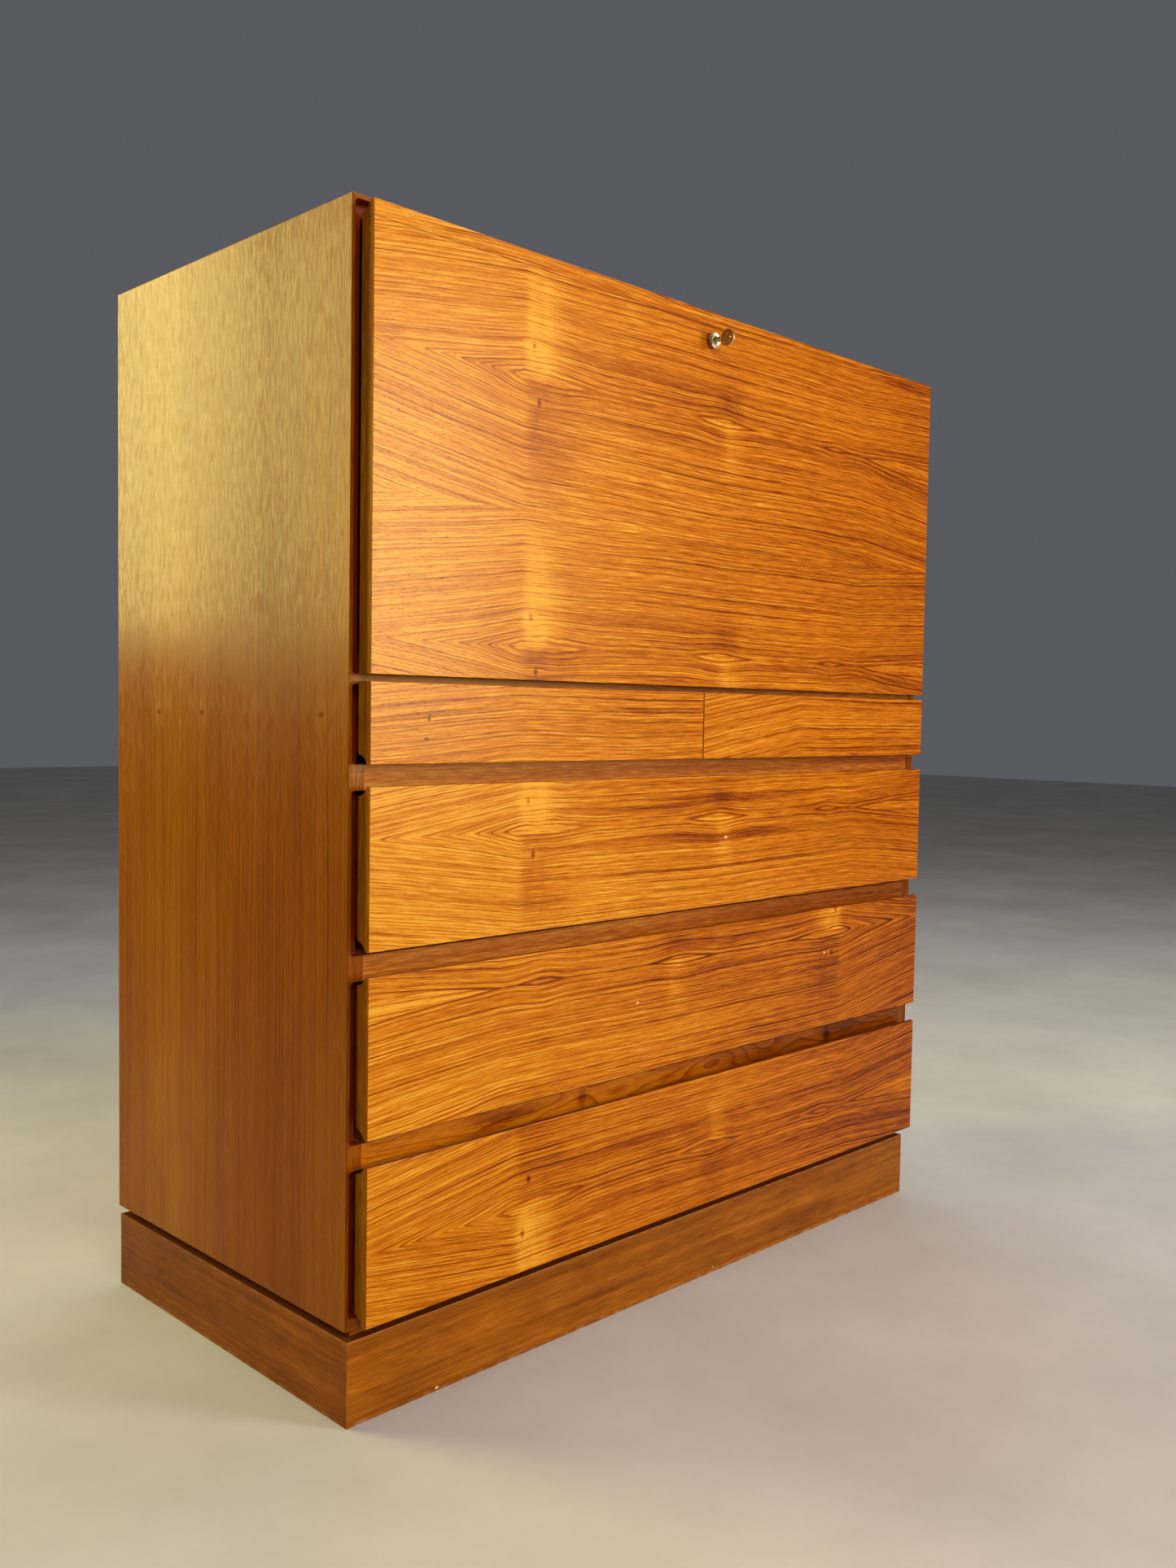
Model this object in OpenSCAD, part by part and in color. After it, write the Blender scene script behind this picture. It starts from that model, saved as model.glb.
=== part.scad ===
// Drop-front secretary desk: a veneered carcass on a plinth, with a lockable fall flap over a writing
// compartment, two small drawers side by side and three wide drawers below.
// Millimetres. x runs along the front, y from front to back and z up. The origin is the middle of the
// overall footprint, key included, on the floor.

/* [Carcass] */
// Overall width over the side panels
width = 990; // [900:10:1060]
// Depth of the carcass, without the fronts
depth = 470; // [440:5:500]
// Overall height
height = 1180; // [1175:1:1190]
// Thickness of the sides, top and bottom
panel_t = 18; // [17:0.5:19]
// Thickness of the back panel
back_t = 8; // [6:0.5:8]
// Radius of the eased outer edges
ease = 0.8; // [0.5:0.1:1.2]

/* [Plinth] */
// Height of the plinth boards
plinth_h = 86; // [80:1:90]
// Thickness of the plinth boards
plinth_t = 18; // [16:1:20]
// How far the plinth stands in from the side panels
plinth_inset = 2.5; // [0:0.5:5]
// Height of the shadow gap between plinth and carcass
shadow_gap = 10.5; // [8:0.5:12]
// Depth of the shadow gap
shadow_depth = 10; // [6:1:14]

/* [Fronts] */
// Thickness of the flap and the drawer fronts
front_t = 19.5; // [19:0.1:20]
// Air between a front's back face and the carcass
front_gap = 0.3; // [0.2:0.1:0.5]
// How far the fronts' ends stand in from the side panels' outer faces
front_inset = 10.6; // [9:0.2:12]
// Height of the flap
flap_h = 439; // [430:1:445]
// Height of a small drawer's front
small_h = 79; // [76:1:80]
// Height of a large drawer's front
large_h = 158; // [150:1:158]
// Drop from the carcass top to the flap's top edge
flap_drop = 7.5; // [7:0.5:9]
// Gap between the flap and the small drawers
flap_joint = 6.5; // [6:0.5:8]
// Gap between the two small drawers
pair_joint = 1.6; // [1.2:0.2:3]
// Gaps under the small drawers, the first and the second large drawer
row_gaps = [21, 24, 26]; // [20:1:27]
// Height of the finger cove in a front's back face
cove_h = 9.5; // [8:0.5:11]
// Depth of the finger cove
cove_d = 14.3; // [12:0.1:14.5]
// Height of the solid lipping along the flap's top edge
lipping_h = 15.5; // [14:0.5:18]

/* [Finger rebates] */
// Depth of the rebates in the carcass's front edges
rebate_d = 13; // [10:1:15]
// Edge that stays outside the rebate in a side panel
side_lip = 3.5; // [3:0.5:5]
// Edge that stays above the rebate in the top panel
top_lip = 4.5; // [4:0.5:5]
// Corner radius of the rebates
rebate_r = 4; // [2:0.5:5]

/* [Rails and runners] */
// Height of a drawer rail
rail_h = 25; // [22:1:26]
// Depth of a drawer rail
rail_d = 60; // [50:5:80]
// Height of a runner strip
runner_h = 14; // [12:1:16]
// Play between a drawer's box and the carcass, each side
side_play = 1.5; // [1:0.1:2]
// Depth of the runner grooves in the drawer sides
groove_d = 6; // [5:0.5:7]

/* [Drawer boxes] */
// Thickness of the drawer sides and backs
box_t = 12; // [11:0.5:14]
// Thickness of the drawer bottoms
bottom_t = 5; // [4:0.5:6]
// Depth of a drawer's box behind its front
box_d = 430; // [400:5:435]
// How far the box sides are housed in the front
housing_d = 8; // [6:1:10]

/* [Writing compartment] */
// Thickness of the pigeonhole boards
board_t = 8; // [6:1:10]
// Depth of the pigeonhole unit
unit_d = 230; // [180:10:250]
// Half the width of the pigeonhole unit
unit_half_w = 460; // [440:1:461]
// Height of the open space below the shelf
lower_h = 235; // [200:5:260]
// Dividers above the shelf
upper_count = 4; // [2:1:6]
// Place of the two dividers below the shelf, from the middle
lower_x = 225; // [150:5:300]

/* [Flap hinges and stays] */
// Place of each hinge, from the middle
hinge_x = 340; // [300:5:400]
// Radius of the hinge pins
pin_r = 2.5; // [2:0.1:3]
// Distance of the stay's flap pivot above the hinge line
stay_rise = 240; // [220:5:250]
// Angle at the hinge line between the two stay pivots when the flap is shut
stay_lead = 14; // [12:1:16]
// Width of the stay bar
bar_w = 10; // [8:1:10]
// Thickness of the stay bar
bar_t = 3; // [2.5:0.5:3]

/* [Lock] */
// Distance of the lock's axis below the flap's top edge
lock_drop = 33.5; // [33:0.5:36]
// Radius of the lock barrel
barrel_r = 9; // [8:0.5:10]
// How far the barrel stands out of the flap
barrel_out = 6.5; // [4:0.5:8]
// Travel of the bolt for a quarter turn of the key
bolt_travel = 10; // [9:0.5:10]
// Radius of the key's bow
bow_r = 10; // [9:0.5:12]

/* [Hidden] */
$fn = 48;

teak_front = [0.74, 0.43, 0.16];
teak_side = [0.70, 0.50, 0.18];
teak_plinth = [0.50, 0.27, 0.10];
teak_inside = [0.66, 0.42, 0.20];
pale_wood = [0.82, 0.68, 0.47];
brass = [0.62, 0.48, 0.24];
nickel = [0.78, 0.76, 0.70];
steel = [0.66, 0.66, 0.67];

// Width and height of the carcass
half_w = width / 2;
inner_x = half_w - panel_t;
plinth_half_w = half_w - plinth_inset;
carcass_z = plinth_h + shadow_gap;
top_z = height - panel_t;
floor_z = carcass_z + panel_t;
back_y = depth - back_t;
back_edge_x = half_w - 10;
back_edge_z = height - 10;

// Rows of fronts, from the top down
front_half_w = half_w - front_inset;
front_y0 = -front_gap - front_t;
front_y1 = -front_gap;
flap_top = height - flap_drop;
flap_z = flap_top - flap_h;
small_z = flap_z - flap_joint - small_h;
large_z1 = small_z - row_gaps[0] - large_h;
large_z2 = large_z1 - row_gaps[1] - large_h;
large_z3 = large_z2 - row_gaps[2] - large_h;
cove_r = (cove_h * cove_h + cove_d * cove_d) / (2 * cove_h);

// Rails
upper_rail_z = flap_z - 9;
rail_z1 = small_z - 0.5 - rail_h;
rail_z2 = large_z1 - 5.5 - rail_h;
rail_z3 = large_z2 - 8 - rail_h;
lowest_rebate_z = carcass_z + 12;
divider_half_t = panel_t / 2;

// Drawer boxes, as [low, high] in z and in x, and the x ranges of their fronts
headroom = 8;
small_box = [small_z + cove_h + 2, upper_rail_z - headroom];
box_1 = [large_z1 + cove_h + 2, rail_z1 - headroom];
box_2 = [large_z2 + cove_h + 2, rail_z2 - headroom];
box_3 = [floor_z + 2, rail_z3 - headroom];
large_box_x = [-inner_x + side_play, inner_x - side_play];
left_box_x = [-inner_x + side_play, -divider_half_t - side_play];
right_box_x = [divider_half_t + side_play, inner_x - side_play];
large_front_x = [-front_half_w, front_half_w];
left_front_x = [-front_half_w, -pair_joint / 2];
right_front_x = [pair_joint / 2, front_half_w];
bottom_rise = 8;
bottom_let_in = 6;
glue_line = 0.1;

// Runner strips
runner_y0 = 20;
runner_y1 = 445;
runner_w = side_play + groove_d - 0.5;
runner_play = 0.4;

// Flap hinge line, in the middle of the flap's square bottom edge
desk_top = flap_z + front_t;
pivot_y = -front_gap - front_t / 2;
pivot_z = flap_z + front_t / 2;
sweep_r = front_t / 2 * sqrt(2) + 0.5;
running_fit = 0.05;
arm_t = 4;
ear_t = 2.5;
ear_gap = 0.3;
leaf_t = 2;
leaf_w = 26;
leaf_z = pivot_z + 16;
leaf_h = 36;
bracket_d = 36;

// Pigeonhole unit
unit_y = back_y - unit_d;
shelf_z = desk_top + lower_h;

// Flap stays. Both pivots lie at the same distance from the hinge line, so the bar and its guide
// turn by exactly half the flap's angle.
stay_offset = front_t / 2 + 8;
stay_arm = sqrt(stay_rise * stay_rise + stay_offset * stay_offset);
stay_angle = atan(stay_offset / stay_rise);
bar_angle = stay_angle + stay_lead / 2;
bar_y = pivot_y + stay_offset;
bar_z = pivot_z + stay_rise;
guide_y = pivot_y + stay_arm * sin(stay_angle + stay_lead);
guide_z = pivot_z + stay_arm * cos(stay_angle + stay_lead);
open_reach = 2 * stay_arm * sin((stay_lead + 90) / 2);
bar_x0 = inner_x - 9.5;
bar_x1 = bar_x0 + bar_t;
guide_len = 16;
guide_wall = 3;
guide_pin_r = 3;
slide_play = 0.3;
stop_len = 4;
eye_r = 6;

// Lock
lock_z = flap_top - lock_drop;
plug_r = 5.5;
crank_r = bolt_travel / sqrt(2);
crank_pin_r = 1.5;
case_half_w = 24;
case_z0 = lock_z - 18;
case_z1 = lock_z + 18.5;
case_y1 = 11.7;
case_t = 1.2;
bolt_y0 = 4.6;
bolt_y1 = 7.6;
tongue_half_w = 8;
keyway_half_t = 1.2;
keyway_half_h = 3.7;
bow_y = front_y0 - barrel_out - 7.7 - bow_r;

// The key's bow reaches furthest forward, and the origin halves the overall depth
y_shift = (bow_r - bow_y - depth) / 2;

module desk() {
    translate([0, y_shift, 0]) children();
}

module block(low, high) {
    translate(low) cube(high - low);
}

module mirrored(side) {
    mirror([side < 0 ? 1 : 0, 0, 0]) children();
}

module both_sides() {
    for (side = [-1, 1]) mirrored(side) children();
}

// A flat outline in x and z, made solid from y0 to y1
module along_y(y0, y1) {
    translate([0, y1, 0]) rotate([90, 0, 0]) linear_extrude(y1 - y0) children();
}

// A flat outline in y and z, made solid from x0 to x1
module along_x(x0, x1) {
    translate([x0, 0, 0]) rotate([90, 0, 90]) linear_extrude(x1 - x0) children();
}

// A round bar or bore along x, through [y, z]
module rod_x(x0, x1, y, z, r) {
    translate([x0, y, z]) rotate([0, 90, 0]) cylinder(h = x1 - x0, r = r);
}

// A round bar or bore along y, through [x, z]
module rod_y(y0, y1, x, z, r) {
    translate([x, y1, z]) rotate([90, 0, 0]) cylinder(h = y1 - y0, r = r);
}

module rounded_rect(low, high, r) {
    translate(low + [r, 0]) square(high - low - [2 * r, 0]);
    translate(low + [0, r]) square(high - low - [0, 2 * r]);
    for (x = [low[0] + r, high[0] - r], y = [low[1] + r, high[1] - r]) translate([x, y]) circle(r);
}

// A countersunk screw that points along +z, with its slotted head's face at z = 0
module screw(length) {
    difference() {
        union() {
            cylinder(h = 2, r1 = 3, r2 = 1.4);
            cylinder(h = length, r = 1.4);
        }
        block([-3, -0.35, -1], [3, 0.35, 0.7]);
    }
}

// The clearance hole and countersink for that screw, in a plate of thickness t
module screw_hole(t) {
    translate([0, 0, -0.01]) cylinder(h = 2.02, r1 = 3.1, r2 = 1.6);
    translate([0, 0, -0.01]) cylinder(h = t + 1, r = 1.6);
}

// ---- carcass ----

module carcass_envelope() {
    intersection() {
        along_y(0, depth) rounded_rect([-half_w, carcass_z], [half_w, height], ease);
        along_x(-half_w, half_w) rounded_rect([0, carcass_z], [depth, height], ease);
        translate([0, 0, carcass_z]) linear_extrude(height - carcass_z)
            rounded_rect([-half_w, 0], [half_w, depth], ease);
    }
}

// One rebate round the whole flap opening, in the sides and the top
module flap_rebate() {
    lip_x = half_w - side_lip;
    along_y(-1, rebate_d) rounded_rect([-lip_x, flap_z], [lip_x, height - top_lip], rebate_r);
}

// The rebate beside one row of drawers, in the right side panel
module row_rebate(z0, z1) {
    along_y(-1, rebate_d) rounded_rect([inner_x - 20, z0], [half_w - side_lip, z1], rebate_r);
}

module back_rebate() {
    block([-back_edge_x, back_y, carcass_z - 1], [back_edge_x, depth + 1, back_edge_z]);
}

module side_panel(side) {
    mirrored(side) difference() {
        intersection() {
            block([inner_x, 0, carcass_z], [half_w, depth, height]);
            carcass_envelope();
        }
        along_y(-1, depth + 1) polygon([[inner_x - 1, top_z - 1], [inner_x - 1, height + 1],
            [half_w + 1, height + 1]]);
        flap_rebate();
        row_rebate(rail_z1 + rail_h, upper_rail_z);
        row_rebate(rail_z2 + rail_h, rail_z1);
        row_rebate(rail_z3 + rail_h, rail_z2);
        row_rebate(lowest_rebate_z, rail_z3);
        back_rebate();
    }
}

module side_left() {
    color(teak_side) desk() side_panel(-1);
}

module side_right() {
    color(teak_side) desk() side_panel(1);
}

module top_panel() {
    color(teak_side) desk() difference() {
        intersection() {
            along_y(0, depth) polygon([[-half_w, height], [-inner_x, top_z], [inner_x, top_z],
                [half_w, height]]);
            carcass_envelope();
        }
        flap_rebate();
        back_rebate();
    }
}

module bottom_panel() {
    color(teak_inside) desk() block([-inner_x, 0, carcass_z], [inner_x, back_y, floor_z]);
}

module back_panel() {
    color(teak_inside) desk()
        block([-back_edge_x, back_y, carcass_z], [back_edge_x, depth, back_edge_z]);
}

// The front edge is hollowed for the flap's bottom corner, and slotted for the hinge brackets
module desk_floor() {
    color(teak_inside) desk() difference() {
        block([-inner_x, 0, flap_z], [inner_x, back_y, desk_top]);
        rod_x(-inner_x - 1, inner_x + 1, pivot_y, pivot_z, sweep_r);
        both_sides() {
            block([hinge_x - arm_t / 2, -1, pivot_z - 5],
                [hinge_x + arm_t / 2, bracket_d, desk_top + 1]);
            block([hinge_x - leaf_w / 2, 5, desk_top - leaf_t],
                [hinge_x + leaf_w / 2, bracket_d, desk_top + 1]);
        }
    }
}

module rail(z0, h) {
    color(teak_plinth) desk() block([-inner_x, 0, z0], [inner_x, rail_d, z0 + h]);
}

module upper_rail() {
    rail(upper_rail_z, flap_z - upper_rail_z);
}

module drawer_rail_1() {
    rail(rail_z1, rail_h);
}

module drawer_rail_2() {
    rail(rail_z2, rail_h);
}

module drawer_rail_3() {
    rail(rail_z3, rail_h);
}

// Stands on the first rail, and is notched round the upper rail
module drawer_divider() {
    low_z = rail_z1 + rail_h;
    color(pale_wood) desk() along_x(-divider_half_t, divider_half_t)
        polygon([[0, low_z], [back_y, low_z], [back_y, flap_z], [rail_d, flap_z],
            [rail_d, upper_rail_z], [0, upper_rail_z]]);
}

// ---- drawer runners ----

// A strip on the face at x, standing out towards dir, half way up a drawer's box
module runner(x, dir, box) {
    z = (box[0] + box[1]) / 2;
    low_x = dir > 0 ? x : x - runner_w;
    block([low_x, runner_y0, z - runner_h / 2], [low_x + runner_w, runner_y1, z + runner_h / 2]);
}

module side_runners(side) {
    color(pale_wood) desk() mirrored(side)
        for (box = [small_box, box_1, box_2, box_3]) runner(inner_x, -1, box);
}

module runners_left() {
    side_runners(-1);
}

module runners_right() {
    side_runners(1);
}

module runners_divider() {
    color(pale_wood) desk() both_sides() runner(divider_half_t, 1, small_box);
}

// ---- plinth ----

// Mitred board along the front; the one along the back is turned round
module plinth_long() {
    intersection() {
        along_x(-half_w, half_w) rounded_rect([0, 0], [plinth_t, plinth_h], ease);
        linear_extrude(plinth_h) polygon([[-plinth_half_w, 0], [plinth_half_w, 0],
            [plinth_half_w - plinth_t, plinth_t], [-plinth_half_w + plinth_t, plinth_t]]);
    }
}

module plinth_short(side) {
    inner = plinth_half_w - plinth_t;
    mirrored(side) intersection() {
        along_y(-1, depth + 1) rounded_rect([inner, 0], [plinth_half_w, plinth_h], ease);
        linear_extrude(plinth_h) polygon([[plinth_half_w, 0], [plinth_half_w, depth],
            [inner, depth - plinth_t], [inner, plinth_t]]);
    }
}

module plinth_front() {
    color(teak_plinth) desk() plinth_long();
}

module plinth_back() {
    color(teak_plinth) desk() translate([0, depth, 0]) mirror([0, 1, 0]) plinth_long();
}

module plinth_left() {
    color(teak_plinth) desk() plinth_short(-1);
}

module plinth_right() {
    color(teak_plinth) desk() plinth_short(1);
}

// Set-back strips that make the shadow gap: two long and two short
module spacer_strips() {
    strip_x = plinth_half_w - shadow_depth;
    strip_w = 30;
    color(teak_plinth) desk() {
        for (y = [shadow_depth, depth - shadow_depth - strip_w])
            block([-strip_x, y, plinth_h], [strip_x, y + strip_w, carcass_z]);
        both_sides() block([strip_x - strip_w, shadow_depth + strip_w + glue_line, plinth_h],
            [strip_x, depth - shadow_depth - strip_w - glue_line, carcass_z]);
    }
}

module plinth_corner_blocks() {
    leg = 40;
    inner = plinth_half_w - plinth_t;
    color(pale_wood) desk() both_sides() for (end = [0, 1])
        translate([inner, end * depth, 5]) mirror([0, end, 0]) linear_extrude(plinth_h - 5)
            polygon([[0, plinth_t], [0, plinth_t + leg], [-leg, plinth_t]]);
}

// ---- writing compartment ----

module pigeonhole_sides() {
    color(teak_inside) desk() both_sides()
        block([unit_half_w - board_t, unit_y, desk_top], [unit_half_w, back_y, top_z]);
}

module pigeonhole_shelf() {
    inner = unit_half_w - board_t;
    color(teak_inside) desk() block([-inner, unit_y, shelf_z], [inner, back_y, shelf_z + board_t]);
}

module upper_dividers() {
    pitch = (2 * (unit_half_w - board_t) + board_t) / (upper_count + 1);
    color(teak_inside) desk() for (i = [1:upper_count])
        translate([-unit_half_w + i * pitch, unit_y + 4, shelf_z + board_t])
            cube([board_t, unit_d - 4, top_z - shelf_z - board_t]);
}

module lower_dividers() {
    color(teak_inside) desk() both_sides()
        block([lower_x, unit_y + 4, desk_top], [lower_x + board_t, back_y, shelf_z]);
}

// Blocks under the top that the shut flap rests against
module flap_stops() {
    color(teak_inside) desk() both_sides() block([390, 0, top_z - 20], [440, 30, top_z]);
}

// ---- flap ----

module front_board(x0, x1, z0, z1, top_cove, bottom_cove) {
    intersection() {
        along_x(x0, x1) difference() {
            rounded_rect([front_y0, z0], [front_y1, z1], ease);
            if (top_cove) translate([front_y1, z1 - cove_h + cove_r]) circle(cove_r);
            if (bottom_cove) translate([front_y1, z0 + cove_h - cove_r]) circle(cove_r);
        }
        translate([0, 0, z0]) linear_extrude(z1 - z0)
            rounded_rect([x0, front_y0], [x1, front_y1], ease);
    }
}

module flap_board() {
    front_board(-front_half_w, front_half_w, flap_z, flap_top, true, false);
}

module flap_panel() {
    joint_z = flap_top - lipping_h;
    notch_half_w = arm_t / 2 + ear_gap + ear_t + 0.1;
    color(teak_front) desk() difference() {
        intersection() {
            flap_board();
            block([-half_w, front_y0 - 1, flap_z - 1], [half_w, 1, joint_z]);
        }
        rod_y(front_y0 - 1, 1, 0, lock_z, barrel_r + 0.1);
        both_sides() {
            block([hinge_x - notch_half_w, front_y0 + 3.5, flap_z - 1],
                [hinge_x + notch_half_w, 1, leaf_z + 6]);
            block([hinge_x - leaf_w / 2, front_y1 - leaf_t, leaf_z],
                [hinge_x + leaf_w / 2, 1, leaf_z + leaf_h]);
        }
    }
}

module flap_lipping() {
    color(teak_front) desk() intersection() {
        flap_board();
        block([-half_w, front_y0 - 1, flap_top - lipping_h], [half_w, 1, flap_top + 1]);
    }
}

// ---- hinges ----

// An arm that reaches into the flap's notch, under a plate let into the writing surface
module hinge_brackets() {
    color(brass) desk() both_sides() difference() {
        union() {
            along_x(hinge_x - arm_t / 2, hinge_x + arm_t / 2) {
                translate([pivot_y, pivot_z]) circle(5);
                translate([pivot_y, pivot_z - 4]) square([bracket_d - pivot_y, 8]);
                translate([5, pivot_z - 4]) square([bracket_d - 5, desk_top - pivot_z + 4]);
            }
            block([hinge_x - leaf_w / 2, 5, desk_top - leaf_t],
                [hinge_x + leaf_w / 2, bracket_d, desk_top]);
        }
        rod_x(hinge_x - arm_t, hinge_x + arm_t, pivot_y, pivot_z, pin_r);
        for (x = [-8, 8]) translate([hinge_x + x, 20, desk_top]) mirror([0, 0, 1]) screw_hole(leaf_t);
    }
}

module hinge_pins() {
    reach = arm_t / 2 + ear_gap + ear_t;
    color(steel) desk() both_sides() rod_x(hinge_x - reach, hinge_x + reach, pivot_y, pivot_z, pin_r);
}

// A plate let into the flap's inner face, with an ear on each side of the bracket's arm
module hinge_leaves() {
    ear_x = arm_t / 2 + ear_gap;
    color(brass) desk() both_sides() difference() {
        union() {
            block([hinge_x - leaf_w / 2, front_y1 - leaf_t, leaf_z],
                [hinge_x + leaf_w / 2, front_y1, leaf_z + leaf_h]);
            for (x = [-ear_x - ear_t, ear_x]) along_x(hinge_x + x, hinge_x + x + ear_t) {
                translate([pivot_y, pivot_z]) circle(5.5);
                translate([pivot_y, pivot_z]) square([front_y1 - pivot_y, leaf_z + 6 - pivot_z]);
            }
        }
        for (x = [-ear_x - ear_t, ear_x])
            rod_x(hinge_x + x - 0.1, hinge_x + x + ear_t + 0.1, pivot_y, pivot_z, pin_r + running_fit);
        for (x = [-8, 8]) translate([hinge_x + x, front_y1, leaf_z + 26]) rotate([90, 0, 0])
            screw_hole(leaf_t);
    }
}

// ---- stays ----

// A bracket with a headed pin on the flap's inner face, beside each bar
module stay_brackets() {
    color(nickel) desk() both_sides() difference() {
        union() {
            block([bar_x0 - 24, front_y1, bar_z - 18], [bar_x0 - 1.5, front_y1 + 2, bar_z + 18]);
            along_x(bar_x0 - 4, bar_x0 - 1.5) {
                translate([bar_y, bar_z]) circle(eye_r);
                translate([front_y1, bar_z - eye_r]) square([bar_y - front_y1, 2 * eye_r]);
            }
            rod_x(bar_x0 - 2, bar_x1 + 1, bar_y, bar_z, pin_r);
            rod_x(bar_x1 + 0.5, bar_x1 + 1.7, bar_y, bar_z, 4.5);
        }
        for (z = [-11, 11]) translate([bar_x0 - 14, front_y1 + 2, bar_z + z]) rotate([90, 0, 0])
            screw_hole(2);
    }
}

// The flat bar: an eye at the flap's pivot, and a stop past the guide
module stay_bar(side) {
    end = open_reach + guide_len / 2 + 0.5;
    color(steel) desk() mirrored(side) translate([0, bar_y, bar_z]) rotate([-bar_angle, 0, 0])
        difference() {
            union() {
                rod_x(bar_x0, bar_x1, 0, 0, eye_r);
                block([bar_x0, 0, -bar_w / 2], [bar_x1, end, bar_w / 2]);
                block([bar_x0 - 1.5, end, -bar_w / 2 - 1.5],
                    [bar_x1 + 1.5, end + stop_len, bar_w / 2 + 1.5]);
            }
            rod_x(bar_x0 - 1, bar_x1 + 1, 0, 0, pin_r + running_fit);
        }
}

module stay_bar_left() {
    stay_bar(-1);
}

module stay_bar_right() {
    stay_bar(1);
}

// The swivelling guide that the bar slides through
module stay_guide(side) {
    half_h = bar_w / 2 + slide_play + guide_wall;
    color(nickel) desk() mirrored(side) translate([0, guide_y, guide_z]) rotate([-bar_angle, 0, 0])
        difference() {
            block([bar_x0 - 2.3, -guide_len / 2, -half_h], [inner_x - 2.3, guide_len / 2, half_h]);
            block([bar_x0 - slide_play, -guide_len, -bar_w / 2 - slide_play],
                [bar_x1 + slide_play, guide_len, bar_w / 2 + slide_play]);
            rod_x(bar_x1, inner_x, 0, 0, guide_pin_r + running_fit);
        }
}

module stay_guide_left() {
    stay_guide(-1);
}

module stay_guide_right() {
    stay_guide(1);
}

// A plate with the guide's pin on each side panel
module guide_mounts() {
    color(nickel) desk() both_sides() difference() {
        union() {
            block([inner_x - 2, guide_y - 10, guide_z - 22], [inner_x, guide_y + 10, guide_z + 22]);
            rod_x(bar_x1 + 0.8, inner_x - 1, guide_y, guide_z, guide_pin_r);
        }
        for (z = [-16, 16]) translate([inner_x - 2, guide_y, guide_z + z]) rotate([0, 90, 0])
            screw_hole(2);
    }
}

// ---- lock ----

module lock_barrel() {
    face_y = front_y0 - barrel_out;
    color(nickel) desk() difference() {
        rod_y(face_y, front_y1, 0, lock_z, barrel_r);
        rod_y(face_y - 1, front_y1 + 1, 0, lock_z, plug_r + running_fit);
        rod_y(face_y - 1, face_y + 0.6, 0, lock_z, barrel_r - 1.3);
    }
}

// An open-topped box on the flap's inner face, with a flange on each side for its screws
module lock_case() {
    color(steel) desk() difference() {
        union() {
            block([-case_half_w, front_y1, case_z0], [case_half_w, case_y1, case_z1]);
            block([-case_half_w - 9, front_y1, case_z0], [case_half_w + 9, front_y1 + case_t, case_z1]);
        }
        block([-case_half_w + case_t, front_y1 + case_t, case_z0 + case_t],
            [case_half_w - case_t, case_y1 - case_t, case_z1 - case_t]);
        block([-tongue_half_w - slide_play, bolt_y0 - slide_play, case_z1 - 2],
            [tongue_half_w + slide_play, bolt_y1 + slide_play, case_z1 + 1]);
        rod_y(front_y1 - 1, front_y1 + case_t + 1, 0, lock_z, plug_r + running_fit);
        for (x = [-case_half_w - 4.5, case_half_w + 4.5], z = [case_z0 + 8, case_z1 - 8])
            translate([x, front_y1 + case_t, z]) rotate([90, 0, 0]) screw_hole(case_t);
    }
}

// The turning plug: a keyway in front, and a disc with the crank pin behind
module lock_plug() {
    color(nickel) desk() difference() {
        union() {
            rod_y(front_y0 - barrel_out + 0.6, 2, 0, lock_z, plug_r);
            rod_y(1.6, 4, 0, lock_z, crank_r + 2.4);
            rod_y(3, 8.5, bolt_travel / 2, lock_z - bolt_travel / 2, crank_pin_r);
        }
        block([-keyway_half_t, front_y0 - barrel_out - 1, lock_z - keyway_half_h],
            [keyway_half_t, front_y1 - 1, lock_z + keyway_half_h]);
    }
}

// The bolt: the crank pin lifts it by its cross slot
module lock_bolt() {
    shoulder_z = lock_z + 7;
    slot_z = lock_z - bolt_travel / 2;
    slot_half_h = crank_pin_r + 0.35;
    color(steel) desk() difference() {
        union() {
            block([-13, bolt_y0, lock_z - 10], [13, bolt_y1, shoulder_z]);
            block([-tongue_half_w, bolt_y0, shoulder_z - 1], [tongue_half_w, bolt_y1, case_z1 - 0.5]);
        }
        block([bolt_travel / 2 - slot_half_h, bolt_y0 - 1, slot_z - slot_half_h],
            [crank_r + slot_half_h, bolt_y1 + 1, slot_z + slot_half_h]);
    }
}

// A plate under the top that bridges the rebate and takes the bolt
module strike_plate() {
    color(brass) desk() difference() {
        block([-18, 2, top_z - 2], [18, 42, top_z]);
        block([-tongue_half_w - 0.6, bolt_y0 - 0.7, top_z - 3],
            [tongue_half_w + 0.6, bolt_y1 + 0.7, top_z + 1]);
        for (x = [-10, 10]) translate([x, 30, top_z - 2]) screw_hole(2);
    }
}

// A round bow with a hole, a neck, and a blade with its cuts, in the vertical plane
module key() {
    blade_half_t = keyway_half_t - 0.2;
    blade_half_h = keyway_half_h - 0.2;
    tip_y = front_y0 + 14;
    face_y = front_y0 - barrel_out;
    color(brass) desk() difference() {
        union() {
            rod_x(-1.1, 1.1, bow_y, lock_z, bow_r);
            block([-1.1, bow_y + bow_r - 2, lock_z - 3], [1.1, face_y - 0.5, lock_z + 3]);
            block([-blade_half_t, face_y - 1, lock_z - blade_half_h],
                [blade_half_t, tip_y, lock_z + blade_half_h]);
        }
        rod_x(-2, 2, bow_y - bow_r / 2, lock_z, 1.9);
        for (i = [0:3]) translate([0, tip_y - 3 - 4 * i, lock_z + blade_half_h + 1.2])
            rotate([45, 0, 0]) cube([4, 3, 3], center = true);
    }
}

// ---- screws ----

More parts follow.
